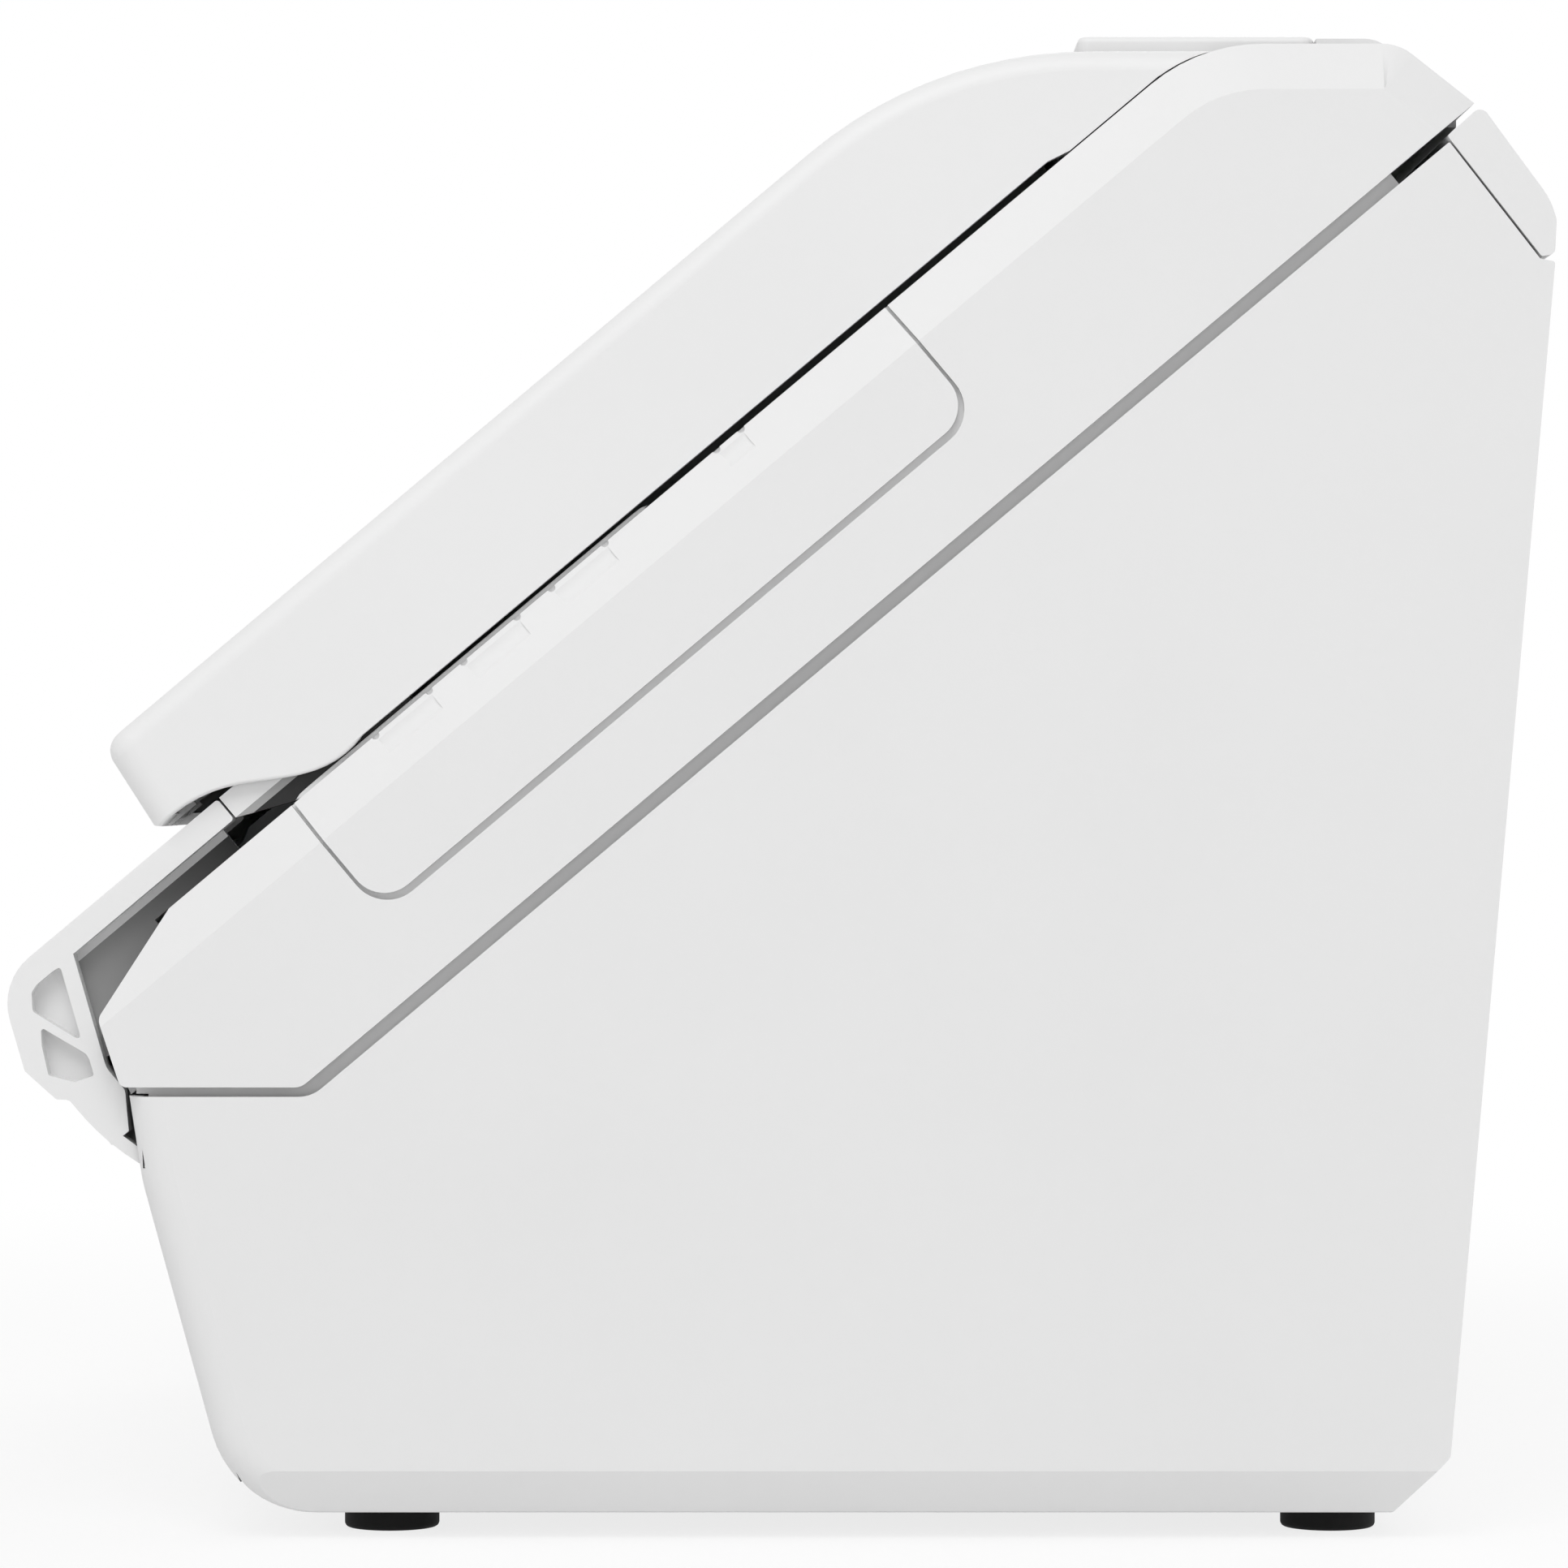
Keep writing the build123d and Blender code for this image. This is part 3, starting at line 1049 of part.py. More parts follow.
def document_guide_left():
    top = PAPER_V - PAPER_GAP / 2
    under = top - GUIDE_THICK
    x0 = -GUIDE_OPEN_X
    body = slab(GUIDE_FROM_U, GUIDE_TO_U, top + 0.2, top + GUIDE_HEIGHT, x0 - 2.2, x0)
    across = body.edges().filter_by(Axis.X).sort_by(edge_v)
    body = fillet(across[-2:], 2)
    body += slab(GUIDE_FROM_U, GUIDE_TO_U, top + 0.2, top + 1.2, x0 - 8, x0)
    slot_u = GUIDE_CENTRE_U - GUIDE_TEETH * GUIDE_MODULE / 2 - 3.5
    body += slab(slot_u - 1.4, slot_u + 1.4, under - 3.4, top + 0.5, x0 - 7, x0)
    rack = extrude(guide_plane(under - 3.4) * rack_strip(GUIDE_CENTRE_U), amount=3.0)
    return body + rack


def document_guide_right():
    """Left guide turned half round about the pinion's axis."""
    return document_guide_left().rotate(pinion_axis(), 180)


def pinion_axis():
    return Axis((0, *at(GUIDE_CENTRE_U, 0)), (0, -DECK_SIN, DECK_COS))


def guide_pinion():
    under = PAPER_V - PAPER_GAP / 2 - GUIDE_THICK
    face = Pos(0, GUIDE_CENTRE_U) * (toothed(GUIDE_TEETH, GUIDE_MODULE, pi / 2) - Circle(2 + RUNNING_FIT))
    return extrude(guide_plane(under - 3.4) * face, amount=3.0)


if __name__ == "__main__":
    os.makedirs("parts", exist_ok=True)
    block_shape = middle_block()
    inset = side_inset(block_shape)
    bracket = hinge_bracket()
    frame = side_frame()
    under = PAPER_V - PAPER_GAP / 2
    over = PAPER_V + PAPER_GAP / 2
    glass_foot = under - GLASS_THICK
    pieces = {
        "base_housing": base_housing(),
        "bottom_plate": bottom_plate(),
        "bottom_screws": bottom_screws(),
        "rubber_feet": rubber_feet(),
        "middle_housing": middle_housing(block_shape),
        "side_insert_right": inset,
        "side_insert_left": mirror(inset, about=Plane.YZ),
        "hinge_bracket_right": bracket,
        "hinge_bracket_left": mirror(bracket, about=Plane.YZ),
        "rear_cover": rear_cover(),
        "lower_guide": lower_guide(),
        "lower_scan_glass": scan_glass(LOWER_GLASS_U, glass_foot, under),
        "lower_sensor_bar": sensor_bar(LOWER_GLASS_U, glass_foot - SENSOR_HEIGHT, glass_foot),
        "side_frame_right": right_frame(),
        "side_frame_left": mirror(frame, about=Plane.YZ),
        "shaft_bushes": shaft_bushes(),
        "drive_motor": drive_motor(),
        "drive_belt": drive_belt(),
        "circuit_board": circuit_board(),
        "power_inlet": power_inlet(),
        "data_socket": data_socket(),
        "transport_shaft": roller_shaft(TRANSPORT_U),
        "transport_sleeves": sleeves(TRANSPORT_U, sleeve_centres(), SLEEVE_WIDTH),
        "transport_pulley": pulley(TRANSPORT_U),
        "drive_gear": drive_gear(),
        "feed_shaft": roller_shaft(FEED_U),
        "feed_sleeves": sleeves(FEED_U, [-11, 11], 18),
        "feed_pulley": pulley(FEED_U),
        "eject_shaft": roller_shaft(EJECT_U),
        "eject_sleeves": sleeves(EJECT_U, sleeve_centres(), SLEEVE_WIDTH),
        "eject_pulley": pulley(EJECT_U),
        "motor_pinion": motor_pinion(),
        "front_cover_shell": front_cover_shell(),
        "upper_guide": upper_guide(),
        "upper_scan_glass": scan_glass(UPPER_GLASS_U, over, over + GLASS_THICK),
        "upper_sensor_bar": sensor_bar(UPPER_GLASS_U, over + GLASS_THICK, over + GLASS_THICK + SENSOR_HEIGHT),
        "cover_hinge_pins": both(rod(HINGE_U, HINGE_V, HINGE_PIN_RADIUS, HINGE_X - 6, HINGE_X + 6)),
        "display_glass": display_glass(),
        "release_lever": release_lever(),
        "separation_roller": idler(FEED_U, SEPARATION_REACH, [0], SEPARATION_WIDTH),
        "transport_idlers": idler(TRANSPORT_U, LUG_X, sleeve_centres(), IDLER_WIDTH),
        "eject_idlers": idler(EJECT_U, LUG_X, sleeve_centres(), IDLER_WIDTH),
        "output_tray": output_tray(),
        "output_extension": output_extension(),
        "feed_tray": feed_tray(),
        "feed_extension": feed_extension(),
        "document_guide_left": document_guide_left(),
        "document_guide_right": document_guide_right(),
        "guide_pinion": guide_pinion(),
    }
    for name, x in button_places().items():
        pieces[name] = push_button(x)
    for node, shape in pieces.items():
        save(node, shape)
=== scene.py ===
import json

import bpy
import numpy as np
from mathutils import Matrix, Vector


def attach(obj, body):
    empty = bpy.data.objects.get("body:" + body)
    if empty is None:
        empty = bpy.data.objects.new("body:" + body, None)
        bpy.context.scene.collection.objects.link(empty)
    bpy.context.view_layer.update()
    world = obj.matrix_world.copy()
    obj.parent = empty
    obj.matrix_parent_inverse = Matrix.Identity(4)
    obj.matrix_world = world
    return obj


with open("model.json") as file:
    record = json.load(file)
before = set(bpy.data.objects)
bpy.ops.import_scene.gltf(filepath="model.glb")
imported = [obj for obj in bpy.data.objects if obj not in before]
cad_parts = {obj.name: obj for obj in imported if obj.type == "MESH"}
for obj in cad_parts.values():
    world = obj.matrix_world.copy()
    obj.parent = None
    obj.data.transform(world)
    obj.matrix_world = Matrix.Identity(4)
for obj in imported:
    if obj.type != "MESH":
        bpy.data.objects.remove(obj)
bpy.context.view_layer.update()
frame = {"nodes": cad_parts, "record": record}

# %% [markdown]
# A desktop document scanner is almost all moulded plastic, so its look depends on how light falls over
# large plain white shells with thin shadow gaps between them. The CAD model already has every shell,
# gap and scoop, so this file gives each one the finish of its real material, and the light and camera
# of the photograph.

# %% Millimetres, colours and shader nodes
MM = 0.001


def hex_colour(code):
    """Linear colour of an sRGB hex code: c/12.92 up to 0.04045, else ((c + 0.055)/1.055)^2.4."""
    parts = np.array([int(code[i:i + 2], 16) / 255 for i in (1, 3, 5)])
    linear = np.where(parts <= 0.04045, parts / 12.92, ((parts + 0.055) / 1.055) ** 2.4)
    return (*linear.tolist(), 1.0)


def add_node(tree, kind, sockets=None, links=None, **settings):
    """Adds one shader node, with its settings, the values of its sockets, and the links into them."""
    node = tree.nodes.new(kind)
    for name, value in settings.items():
        setattr(node, name, value)
    for name, value in (sockets or {}).items():
        node.inputs[name].default_value = value
    for name, source in (links or {}).items():
        tree.links.new(source, node.inputs[name])
    return node


def new_material(name, sockets):
    """An empty Principled material with the values that are the same all over its surface."""
    material = bpy.data.materials.new(name)
    material.use_nodes = True
    shader = material.node_tree.nodes["Principled BSDF"]
    for socket, value in sockets.items():
        shader.inputs[socket].default_value = value
    return material, material.node_tree, shader


print("white ABS is", [round(v, 3) for v in hex_colour("#EBEBEB")], "in linear light")

# %% [markdown]
# Moulded plastic copies the wall of its mould. A housing's mould is spark eroded, which leaves a fine
# even grain that scatters light, and a lip or a guide where paper slides is polished smoother. A real
# grain of 0.1 mm is too fine to show here, so it is drawn at about half a millimetre. Slow patches a
# few centimetres wide vary the colour and the gloss by a percent or two, as flow in the mould does.

# %% Moulded finish
PATCH_WIDTH_MM = 45.0
PATCH_FROM, PATCH_TO = 0.35, 0.65    # noise values between which a patch turns from dark to light
GLOSS_SWING = 0.03                   # what the patches add to the roughness and take from it
GRAIN_STRENGTH = 0.35                # share of the full bump, so that the grain stays gentle


def moulded(name, code, roughness, grain_mm, grain_depth_mm, patch=0.02, specular=0.5,
            stretch=(1, 1, 1), metallic=0.0):
    """Principled finish with slow patches of colour and gloss, and a fine grain in the bump."""
    material, tree, shader = new_material(name, {"Metallic": metallic, "Specular IOR Level": specular})
    place = add_node(tree, "ShaderNodeTexCoord").outputs["Object"]
    drawn = add_node(tree, "ShaderNodeMapping", {"Scale": stretch}, {"Vector": place})
    slow = add_node(tree, "ShaderNodeTexNoise", {"Scale": 1 / (PATCH_WIDTH_MM * MM), "Detail": 4.0},
                    {"Vector": place})
    fine = add_node(tree, "ShaderNodeTexNoise", {"Scale": 1 / (grain_mm * MM), "Detail": 3.0},
                    {"Vector": drawn.outputs["Vector"]})
    tint = add_node(tree, "ShaderNodeValToRGB", links={"Fac": slow.outputs["Fac"]})
    colour = np.array(hex_colour(code))
    shades = zip(tint.color_ramp.elements, (PATCH_FROM, PATCH_TO), (1 - patch, 1.0))
    for element, at, shade in shades:
        element.position = at
        element.color = (*(colour[:3] * shade), 1.0)
    gloss = add_node(tree, "ShaderNodeMapRange", {
        "To Min": roughness - GLOSS_SWING, "To Max": roughness + GLOSS_SWING},
        {"Value": slow.outputs["Fac"]})
    bump = add_node(tree, "ShaderNodeBump", {
        "Strength": GRAIN_STRENGTH, "Distance": grain_depth_mm * MM}, {"Height": fine.outputs["Fac"]})
    tree.links.new(tint.outputs["Color"], shader.inputs["Base Color"])
    tree.links.new(gloss.outputs["Result"], shader.inputs["Roughness"])
    tree.links.new(bump.outputs["Normal"], shader.inputs["Normal"])
    return material


# Each line gives the sRGB colour, the roughness, the grain's width and depth in millimetres, and by
# how much the dark patches are darker.
look = {
    # Spark-eroded housings: broad soft highlights and no reflections.
    "white_housing": moulded("ABS_spark_eroded_white", "#EBEBEB", 0.55, 0.5, 0.025, 0.012,
                             specular=0.4),
    # Finer grain on what hands touch: slightly brighter, with a tighter sheen.
    "white_cover": moulded("ABS_satin_moulded_white", "#EDEDED", 0.48, 0.45, 0.02, 0.01,
                           specular=0.4),
    # Dyed grey, so that dust from paper doesn't show.
    "grey_guide": moulded("ABS_satin_moulded_grey", "#8E9092", 0.45, 0.4, 0.01, 0.04),
    # Dyed black, so that it throws no light into the sensors.
    "dark_plastic": moulded("ABS_moulded_black", "#1E1F21", 0.5, 0.4, 0.02, 0.1),
    # Rubber scatters nearly everything, and its sheen is weak.
    "rubber": moulded("rubber_moulded_black", "#171717", 0.8, 0.6, 0.05, 0.15, specular=0.3),
    # Ground to size, which leaves the rollers a little lighter and finer grained than the feet.
    "roller_rubber": moulded("rubber_ground_dark_grey", "#3A3A3C", 0.75, 0.3, 0.03, 0.1,
                             specular=0.35),
    # Turned bars keep rings round their axis, which runs along X.
    "steel": moulded("steel_turned_plated", "#B4B6B8", 0.3, 0.2, 0.004, 0.08,
                     stretch=(1, 0.05, 0.05), metallic=1.0),
    # Rolled sheet keeps long streaks.
    "sheet_steel": moulded("steel_sheet_zinc_plated", "#BCBEC0", 0.38, 0.3, 0.004, 0.12,
                           stretch=(1, 0.08, 1), metallic=1.0),
    # Undyed acetal is a warm white with a waxy sheen.
    "gear_nylon": moulded("acetal_moulded_natural", "#E2DFD2", 0.4, 0.5, 0.01, 0.03),
    # Solder mask lies over woven glass, whose threads are about 1.5 mm wide here.
    "board": moulded("laminate_solder_masked_green", "#1F6B3F", 0.35, 1.5, 0.01, 0.15),
    # Polished sheet reflects the room, with a slow waviness in place of a grain.
    "display": moulded("acrylic_polished_smoked", "#0E0F11", 0.06, 40.0, 0.001, 0.05),
}
print("moulded, metal and rubber finishes:", len(look))

# %% [markdown]
# The glass that the sensors look through is float glass, and it lies straight on the black face of the
# sensor bar. Clear glass that touches another solid shows speckles where the two faces meet, so it is
# made as what the eye sees: a black face under a smooth top. Its gloss varies where it has been wiped.

# %% Glass
WIPED_WIDTH_MM = 12.0
CLEAN_ROUGHNESS, WIPED_ROUGHNESS = 0.03, 0.1
GLASS_IOR = 1.52


def wiped_glass():
    """Smooth dark glass whose roughness rises a little in patches as wide as a wiping finger."""
    material, tree, shader = new_material("float_glass_over_black", {
        "Base Color": hex_colour("#16191A"), "IOR": GLASS_IOR})
    place = add_node(tree, "ShaderNodeTexCoord").outputs["Object"]
    wiped = add_node(tree, "ShaderNodeTexNoise", {"Scale": 1 / (WIPED_WIDTH_MM * MM), "Detail": 2.0},
                     {"Vector": place})
    gloss = add_node(tree, "ShaderNodeMapRange", {
        "To Min": CLEAN_ROUGHNESS, "To Max": WIPED_ROUGHNESS}, {"Value": wiped.outputs["Fac"]})
    tree.links.new(gloss.outputs["Result"], shader.inputs["Roughness"])
    return material


look["glass"] = wiped_glass()
print("glass:", look["glass"].name)

# %% [markdown]
# Each CAD piece takes the finish of its material slot, so the record stays the one place that says
# what a piece is made of.

# %% Finishes on the CAD pieces
slots = {entry["node"]: entry["material_slot"] for entry in frame["record"]["subparts"]}
for node, piece in frame["nodes"].items():
    piece.data.materials.clear()
    piece.data.materials.append(look[slots[node]])
print("pieces with a finish:", len(frame["nodes"]))

# %% [markdown]
# The hinge brackets and the output tray are white above and painted with shade below. The brackets are
# painted grey under a white fin that carries on the edge of the tray, and the tray's side walls are
# painted grey below its white rim. The grey is painted shade for the dark inside that begins where the
# white skin ends. The border lies along the sloping deck, so it is measured in the deck's own frame: u
# runs up the slope, and v stands square to it.

# %% Distances along the deck
SLOPE = np.radians(40.0)
DECK_Y_MM, DECK_Z_MM = -80.8, 122.5      # the deck's lower front edge, where u and v are 0
UP_THE_SLOPE = (np.cos(SLOPE), np.sin(SLOPE))
OFF_THE_DECK = (-np.sin(SLOPE), np.cos(SLOPE))


def along(tree, place, direction):
    """Distance in millimetres from the deck's edge, along a direction in the YZ plane."""
    dot = add_node(tree, "ShaderNodeVectorMath", {1: (0, *direction)}, {0: place},
                   operation="DOT_PRODUCT")
    start = DECK_Y_MM * direction[0] + DECK_Z_MM * direction[1]
    size = add_node(tree, "ShaderNodeMath", {1: 1 / MM}, {0: dot.outputs["Value"]},
                    operation="MULTIPLY")
    return add_node(tree, "ShaderNodeMath", {1: start}, {0: size.outputs[0]},
                    operation="SUBTRACT").outputs[0]


print("deck slope:", round(float(np.degrees(SLOPE)), 1), "degrees")

# %% [markdown]
# Below the white there are two greys of painted shade. The step next to it is painted a lighter grey,
# as if it caught some light, and the recess under the step is painted darker up the slope, where it
# lies deeper under the cover. One mask picks the side faces under the border, and the two greys only
# show there.

# %% White rim over a side painted with shade
RIM_BORDER_MM, STEP_BORDER_MM = 4.6, 3.3     # v of the lower edge of the white and of the step
SHADE_LIGHTEST_U_MM, SHADE_DARKEST_U_MM = -48.0, -12.0         # u at which the recess is lightest and darkest
# Painted shade: the recess grey runs from the light one to the dark one up the slope.
SHADE_PAINT_LIGHT, SHADE_PAINT_DARK = "#A0A0A0", "#1E1E1E"


def painted_shade_below(tree, u, v, step_shade_code):
    """Painted shade: the step's lighter grey above its border, and under it a grey painted darker up
    the slope.
    """
    depth = add_node(tree, "ShaderNodeMapRange", {"From Min": SHADE_LIGHTEST_U_MM, "From Max": SHADE_DARKEST_U_MM},
                     {"Value": u})
    recess = add_node(tree, "ShaderNodeMix", {
        "A": hex_colour(SHADE_PAINT_LIGHT), "B": hex_colour(SHADE_PAINT_DARK)},
        {"Factor": depth.outputs["Result"]}, data_type="RGBA")
    on_step = add_node(tree, "ShaderNodeMath", {1: STEP_BORDER_MM}, {0: v}, operation="GREATER_THAN")
    return add_node(tree, "ShaderNodeMix", {"B": hex_colour(step_shade_code)}, {
        "Factor": on_step.outputs[0], "A": recess.outputs["Result"]}, data_type="RGBA")


def shade_mask_under_rim(tree, place, v, side_x_mm, tolerance_mm):
    """Mask of the painted shade: 1 on the faces near |X| = side_x_mm under the white rim, 0 elsewhere.
    """
    across = add_node(tree, "ShaderNodeSeparateXYZ", links={"Vector": place}).outputs["X"]
    far = add_node(tree, "ShaderNodeMath", links={0: across}, operation="ABSOLUTE").outputs[0]
    on_side = add_node(tree, "ShaderNodeMath", {1: side_x_mm * MM, 2: tolerance_mm * MM}, {0: far},
                       operation="COMPARE")
    under = add_node(tree, "ShaderNodeMath", {1: RIM_BORDER_MM}, {0: v}, operation="LESS_THAN")
    return add_node(tree, "ShaderNodeMath", operation="MULTIPLY",
                    links={0: on_side.outputs[0], 1: under.outputs[0]})


def white_over_painted_shade(name, side_x_mm, tolerance_mm, step_shade_code):
    """White satin ABS whose side faces near |X| = side_x_mm are painted grey with shade under the white
    rim.
    """
    material = look["white_cover"].copy()
    material.name = name
    tree = material.node_tree
    shader = tree.nodes["Principled BSDF"]
    white = shader.inputs["Base Color"].links[0].from_socket
    place = add_node(tree, "ShaderNodeTexCoord").outputs["Object"]
    u = along(tree, place, UP_THE_SLOPE)
    v = along(tree, place, OFF_THE_DECK)
    below = painted_shade_below(tree, u, v, step_shade_code)
    grey = shade_mask_under_rim(tree, place, v, side_x_mm, tolerance_mm)
    mix = add_node(tree, "ShaderNodeMix", links={
        "Factor": grey.outputs[0], "A": white, "B": below.outputs["Result"]}, data_type="RGBA")
    tree.links.new(mix.outputs["Result"], shader.inputs["Base Color"])
    return material


# Both get painted shade. The wall's step grey is lighter, since the rim above it already shades it.
fin = white_over_painted_shade("ABS_satin_moulded_white_and_painted_shade_fin", side_x_mm=143.5, tolerance_mm=3.0,
                  step_shade_code="#A6A6A6")
wall = white_over_painted_shade("ABS_satin_moulded_white_and_painted_shade_wall", side_x_mm=141.2, tolerance_mm=0.4,
                   step_shade_code="#E2E2E2")
painted_shade_pieces = {"hinge_bracket_left": fin, "hinge_bracket_right": fin, "output_tray": wall}
for node, material in painted_shade_pieces.items():
    frame["nodes"][node].data.materials[0] = material
print("pieces in two colours:", list(painted_shade_pieces))

# %% [markdown]
# Under the lower half of the cover's edge the photograph shows a thin pale strip in shade, and past it
# the slot is black. It is a moulded rib that stands on the top of each cheek and keeps light and dust
# out. It could be a rounded box, but as one profile carried along the slope its crown stays round, and
# both of its ends can run out to a point without a flat cap.

# %% Profile of a light-stop rib
RIB_FROM_U, RIB_TO_U = 0.3, 77.0
RIB_X, RIB_HALF_WIDTH = 146.5, 0.35
RIB_MIDDLE_V, RIB_HALF_HEIGHT = 0.35, 0.45   # the crown stays 0.13 mm under the cover
AROUND, RINGS = 24, 64                       # points round the profile, and profiles along the rib
CORNER_POWER = 0.5                           # 1 gives an ellipse, and less fills out its corners
END_POWER = 30                               # the higher, the shorter the ends that taper


def rib_points(side):
    """Superellipse profiles, x = w cos(t)^p and v = h sin(t)^p with p = 1/2, carried along u. At the
    ends they shrink as (1 - |2s - 1|^30)^(1/2), where s runs from 0 to 1. Both tips come last."""
    t = np.linspace(0, 2 * np.pi, AROUND, endpoint=False)
    s = np.linspace(0, 1, RINGS + 2)[1:-1]
    shrink = np.sqrt(1 - np.abs(2 * s - 1) ** END_POWER)[:, None]
    round_x = np.sign(np.cos(t)) * np.abs(np.cos(t)) ** CORNER_POWER
    round_v = np.sign(np.sin(t)) * np.abs(np.sin(t)) ** CORNER_POWER
    u = (RIB_FROM_U + (RIB_TO_U - RIB_FROM_U) * s)[:, None] + 0 * t
    x = side * (RIB_X + RIB_HALF_WIDTH * shrink * round_x)
    v = RIB_MIDDLE_V + RIB_HALF_HEIGHT * shrink * round_v
    rings = np.stack([x, u, v], axis=-1).reshape(-1, 3)
    tips = [(side * RIB_X, end, RIB_MIDDLE_V) for end in (RIB_FROM_U, RIB_TO_U)]
    deck = np.vstack([rings, tips])
    turn = np.array([[1, 0, 0], [0, *UP_THE_SLOPE], [0, *OFF_THE_DECK]])
    return (deck @ turn + (0, DECK_Y_MM, DECK_Z_MM)) * MM


print("rib in mm:", 2 * RIB_HALF_WIDTH, "wide,", 2 * RIB_HALF_HEIGHT, "high,",
      round(RIB_TO_U - RIB_FROM_U, 1), "long")

# %% [markdown]
# Each profile is joined to the next by a band of quads, and a fan of triangles closes each end on its
# tip. The left rib mirrors the right one, which turns its faces inside out, so the order of the corners
# is turned round on one side.


# %% Light-stop ribs in the slot under the cover
def rib_faces(side):
    """Quads between neighbouring profiles, and a triangle fan from each end profile to its tip."""
    ring = np.arange(AROUND)
    following = (ring + 1) % AROUND
    row = np.arange(RINGS - 1)[:, None] * AROUND
    here, after = row + ring, row + following
    quads = np.stack([here, after, after + AROUND, here + AROUND], axis=-1).reshape(-1, 4)
    last = (RINGS - 1) * AROUND
    first_tip, last_tip = np.full(AROUND, RINGS * AROUND), np.full(AROUND, RINGS * AROUND + 1)
    first_fan = np.stack([following, ring, first_tip], axis=-1)
    last_fan = np.stack([last + ring, last + following, last_tip], axis=-1)
    flip = -1 if side > 0 else 1
    return [face[::flip].tolist() for block in (quads, first_fan, last_fan) for face in block]


def light_stop(name, side):
    """One rib of satin white ABS, on the right (side 1) or on the left (side -1)."""
    mesh = bpy.data.meshes.new(name)
    mesh.from_pydata(rib_points(side).tolist(), [], rib_faces(side))
    mesh.shade_smooth()
    mesh.materials.append(look["white_cover"])
    piece = bpy.data.objects.new(name, mesh)
    bpy.context.scene.collection.objects.link(piece)
    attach(piece, "base")
    return piece


ribs = [light_stop("light_stop_right", 1), light_stop("light_stop_left", -1)]
print("light stops:", [len(rib.data.polygons) for rib in ribs], "faces")

# %% [markdown]
# The photograph looks square on to the right side, so the camera looks straight along X from the right,
# at the height of the machine's middle. It stands over a metre away with a long lens, so the far side
# is only a little smaller than the near one, and the machine fills the frame as it does in the
# photograph.

# %% Camera
SENSOR_MM, LENS_MM = 36.0, 140.6
CAMERA_PLACE = (1.168, 0.0007, 0.1257)     # metres
LOOKING = Vector((-1, 0, 0))               # straight at the right side

camera_data = bpy.data.cameras.new("camera")
camera_data.sensor_width = SENSOR_MM
camera_data.lens = LENS_MM
camera = bpy.data.objects.new("camera", camera_data)
camera.location = CAMERA_PLACE
camera.rotation_euler = LOOKING.to_track_quat("-Z", "Y").to_euler()
bpy.context.scene.collection.objects.link(camera)
bpy.context.scene.camera = camera
print("camera", [round(v, 4) for v in camera.location], "lens", camera_data.lens)

# %% [markdown]
# The machine stands on a plain white table with no visible edge. Camera, mirror and glass rays see the
# table and the room as white. All other rays meet a matte surface, so the shells pick up light from
# below as well. Round the machine the camera sees some of that matte surface, which keeps its shadow,
# and further out the white takes over smoothly.

# %% White background
SHADOW_SHARE = 0.2                      # how much of the lit table the camera sees near the machine
SHADOW_NEAR, SHADOW_FAR = 0.22, 0.75    # metres from the middle between which that share fades out
TABLE_HALF = 3.0                        # metres from the middle to an edge


def seen_directly(tree):
    """1 for camera, mirror and glass rays and 0 for the rest."""
    path = add_node(tree, "ShaderNodeLightPath")
    first = add_node(tree, "ShaderNodeMath", operation="MAXIMUM",
                     links={0: path.outputs["Is Camera Ray"], 1: path.outputs["Is Glossy Ray"]})
    return add_node(tree, "ShaderNodeMath", operation="MAXIMUM",
                    links={0: first.outputs[0], 1: path.outputs["Is Transmission Ray"]}).outputs[0]


def white_where_seen(tree, share, lit, output):
    """Mixes what is lit with white light of strength 1, by share."""
    white = add_node(tree, "ShaderNodeEmission", {"Strength": 1.0})
    mix = add_node(tree, "ShaderNodeMixShader", links={0: share, 1: lit, 2: white.outputs["Emission"]})
    tree.links.new(mix.outputs["Shader"], output)


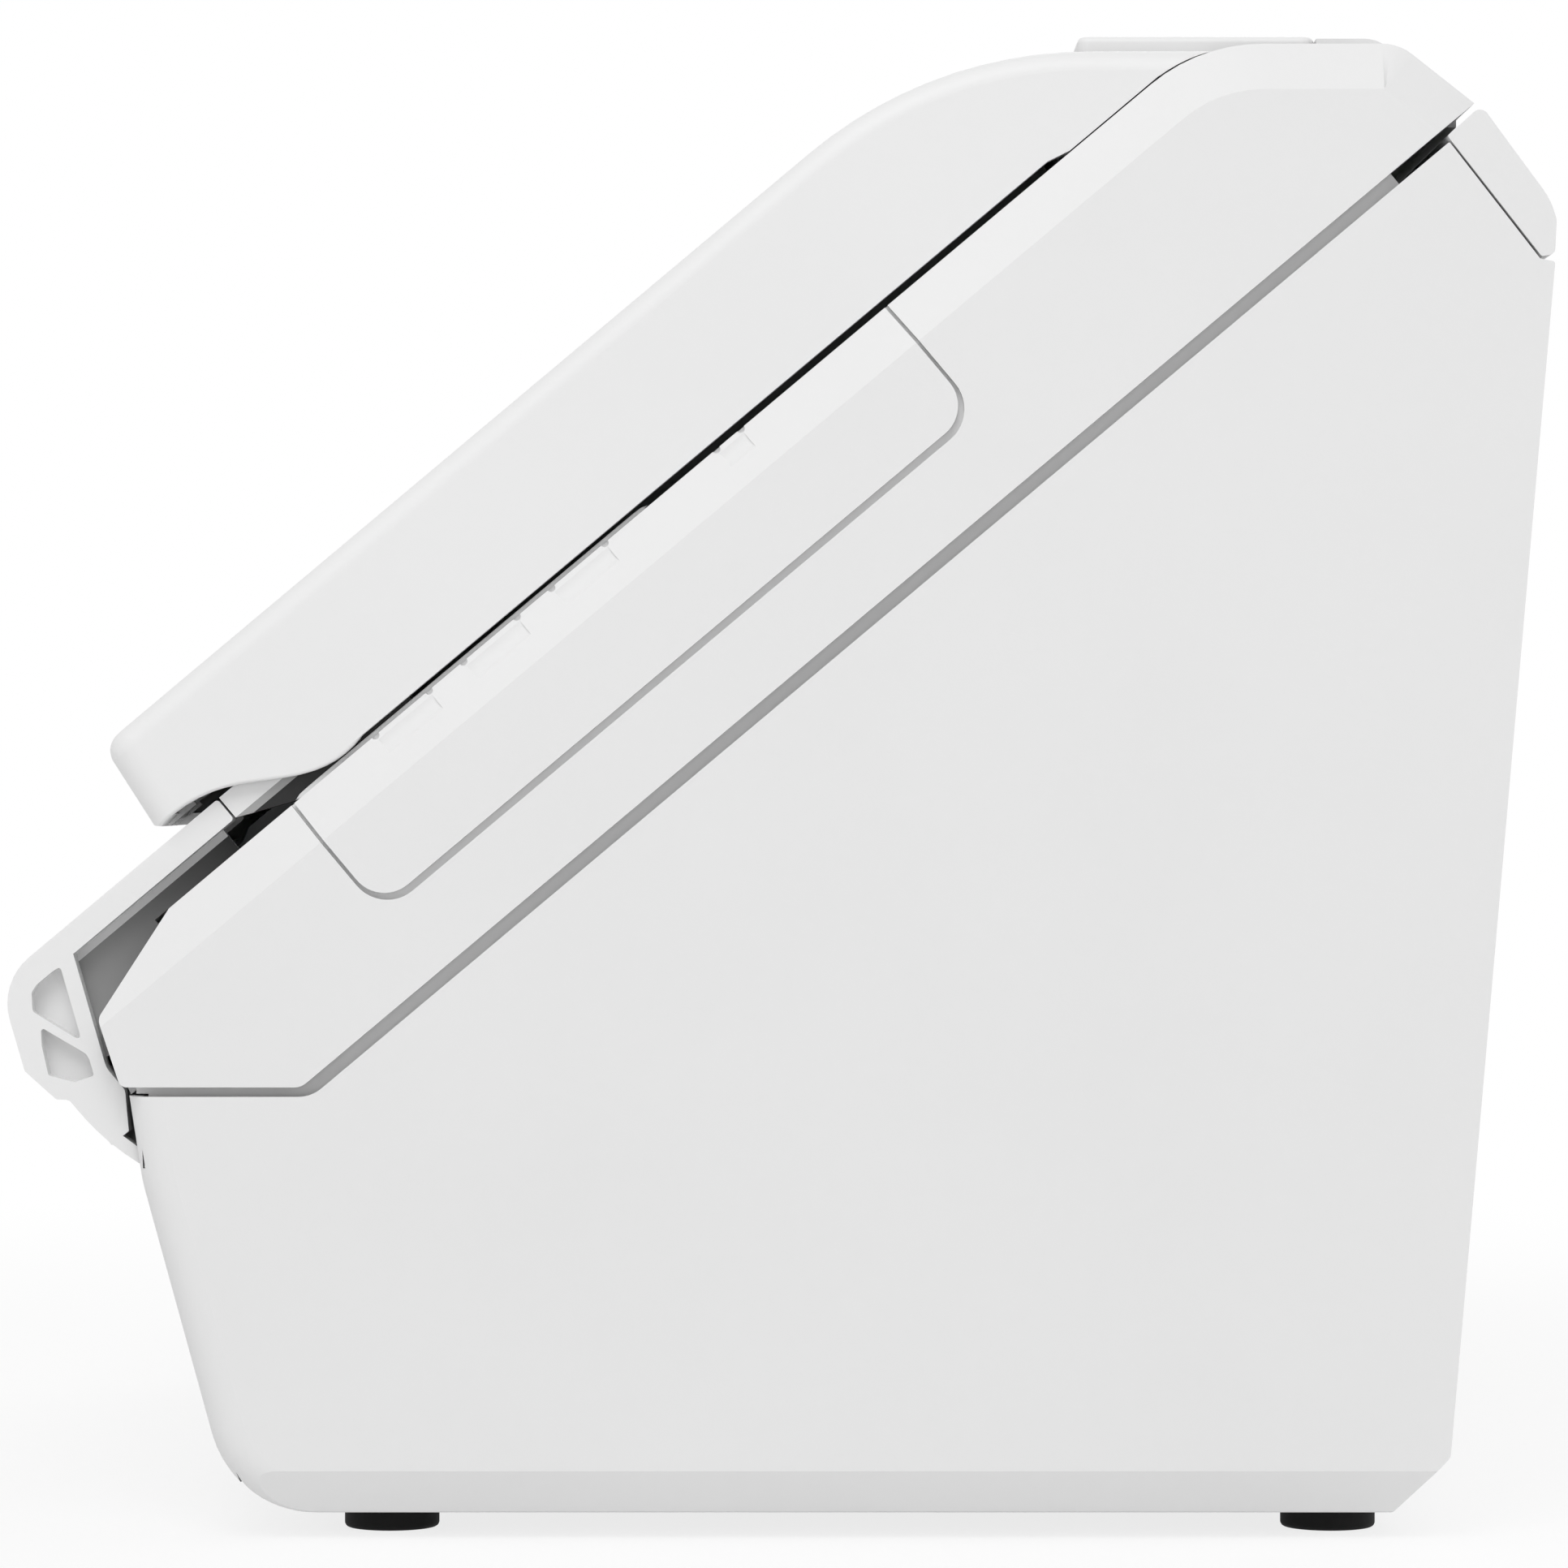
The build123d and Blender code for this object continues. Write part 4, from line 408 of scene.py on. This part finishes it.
def table_top(half):
    """A square sheet at Z = 0, with corners at plus and minus half its side in X and Y."""
    corners = np.array([(-1, -1, 0), (1, -1, 0), (1, 1, 0), (-1, 1, 0)]) * half
    mesh = bpy.data.meshes.new("table_top")
    mesh.from_pydata(corners.tolist(), [], [(0, 1, 2, 3)])
    sheet = bpy.data.objects.new("table_top", mesh)
    bpy.context.scene.collection.objects.link(sheet)
    material, tree, shader = new_material("paper_backdrop_matte_white", {
        "Base Color": hex_colour("#F6F6F6"), "Roughness": 0.9})
    place = add_node(tree, "ShaderNodeTexCoord").outputs["Object"]
    reach = add_node(tree, "ShaderNodeVectorMath", links={0: place}, operation="LENGTH")
    fade = add_node(tree, "ShaderNodeMapRange", {
        "From Min": SHADOW_NEAR, "From Max": SHADOW_FAR, "To Min": 1 - SHADOW_SHARE, "To Max": 1.0},
        {"Value": reach.outputs["Value"]}, interpolation_type="SMOOTHSTEP")
    share = add_node(tree, "ShaderNodeMath", operation="MULTIPLY",
                     links={0: seen_directly(tree), 1: fade.outputs["Result"]}).outputs[0]
    white_where_seen(tree, share, shader.outputs["BSDF"],
                     tree.nodes["Material Output"].inputs["Surface"])
    mesh.materials.append(material)
    return sheet


table = table_top(TABLE_HALF)
print("table:", table.dimensions[:])

# %% [markdown]
# The photograph has the flat light of a white tent: bright from above and from the camera's side, and
# weaker from the front, so the nose and the front corners are a little darker than the sides. A room
# of plain light does most of it, a large soft box does the rest, and a weaker one behind the far corner
# keeps the sides that the photograph doesn't show from going dull.

# %% Light
ROOM_LIGHT = 0.55
MACHINE_MIDDLE = (0, 0, 0.12)     # these places and the side of a box are in metres
CAMERA_SIDE_PLACE, CAMERA_SIDE_WATTS = (1.35, -0.3, 1.5), 15.0
FAR_SIDE_PLACE, FAR_SIDE_WATTS = (-1.5, 0.7, 0.9), 7.0
BOX_SIDE = 1.2

world = bpy.data.worlds.new("studio")
bpy.context.scene.world = world
world.use_nodes = True
room = world.node_tree
ambient = room.nodes["Background"]
ambient.inputs["Color"].default_value = (1, 1, 1, 1)
ambient.inputs["Strength"].default_value = ROOM_LIGHT
white_where_seen(room, seen_directly(room), ambient.outputs["Background"],
                 room.nodes["World Output"].inputs["Surface"])


def soft_box(name, place, target, watts):
    """A square area light that faces its target."""
    data = bpy.data.lights.new(name, "AREA")
    data.energy = watts
    data.size = BOX_SIDE
    lamp = bpy.data.objects.new(name, data)
    lamp.location = place
    lamp.rotation_euler = (Vector(target) - Vector(place)).to_track_quat("-Z", "Y").to_euler()
    bpy.context.scene.collection.objects.link(lamp)
    return lamp


boxes = (soft_box("camera_side", CAMERA_SIDE_PLACE, MACHINE_MIDDLE, CAMERA_SIDE_WATTS),
         soft_box("far_side", FAR_SIDE_PLACE, MACHINE_MIDDLE, FAR_SIDE_WATTS))
bpy.context.scene.view_settings.view_transform = "Standard"
print("soft boxes:", {lamp.name: lamp.data.energy for lamp in boxes})
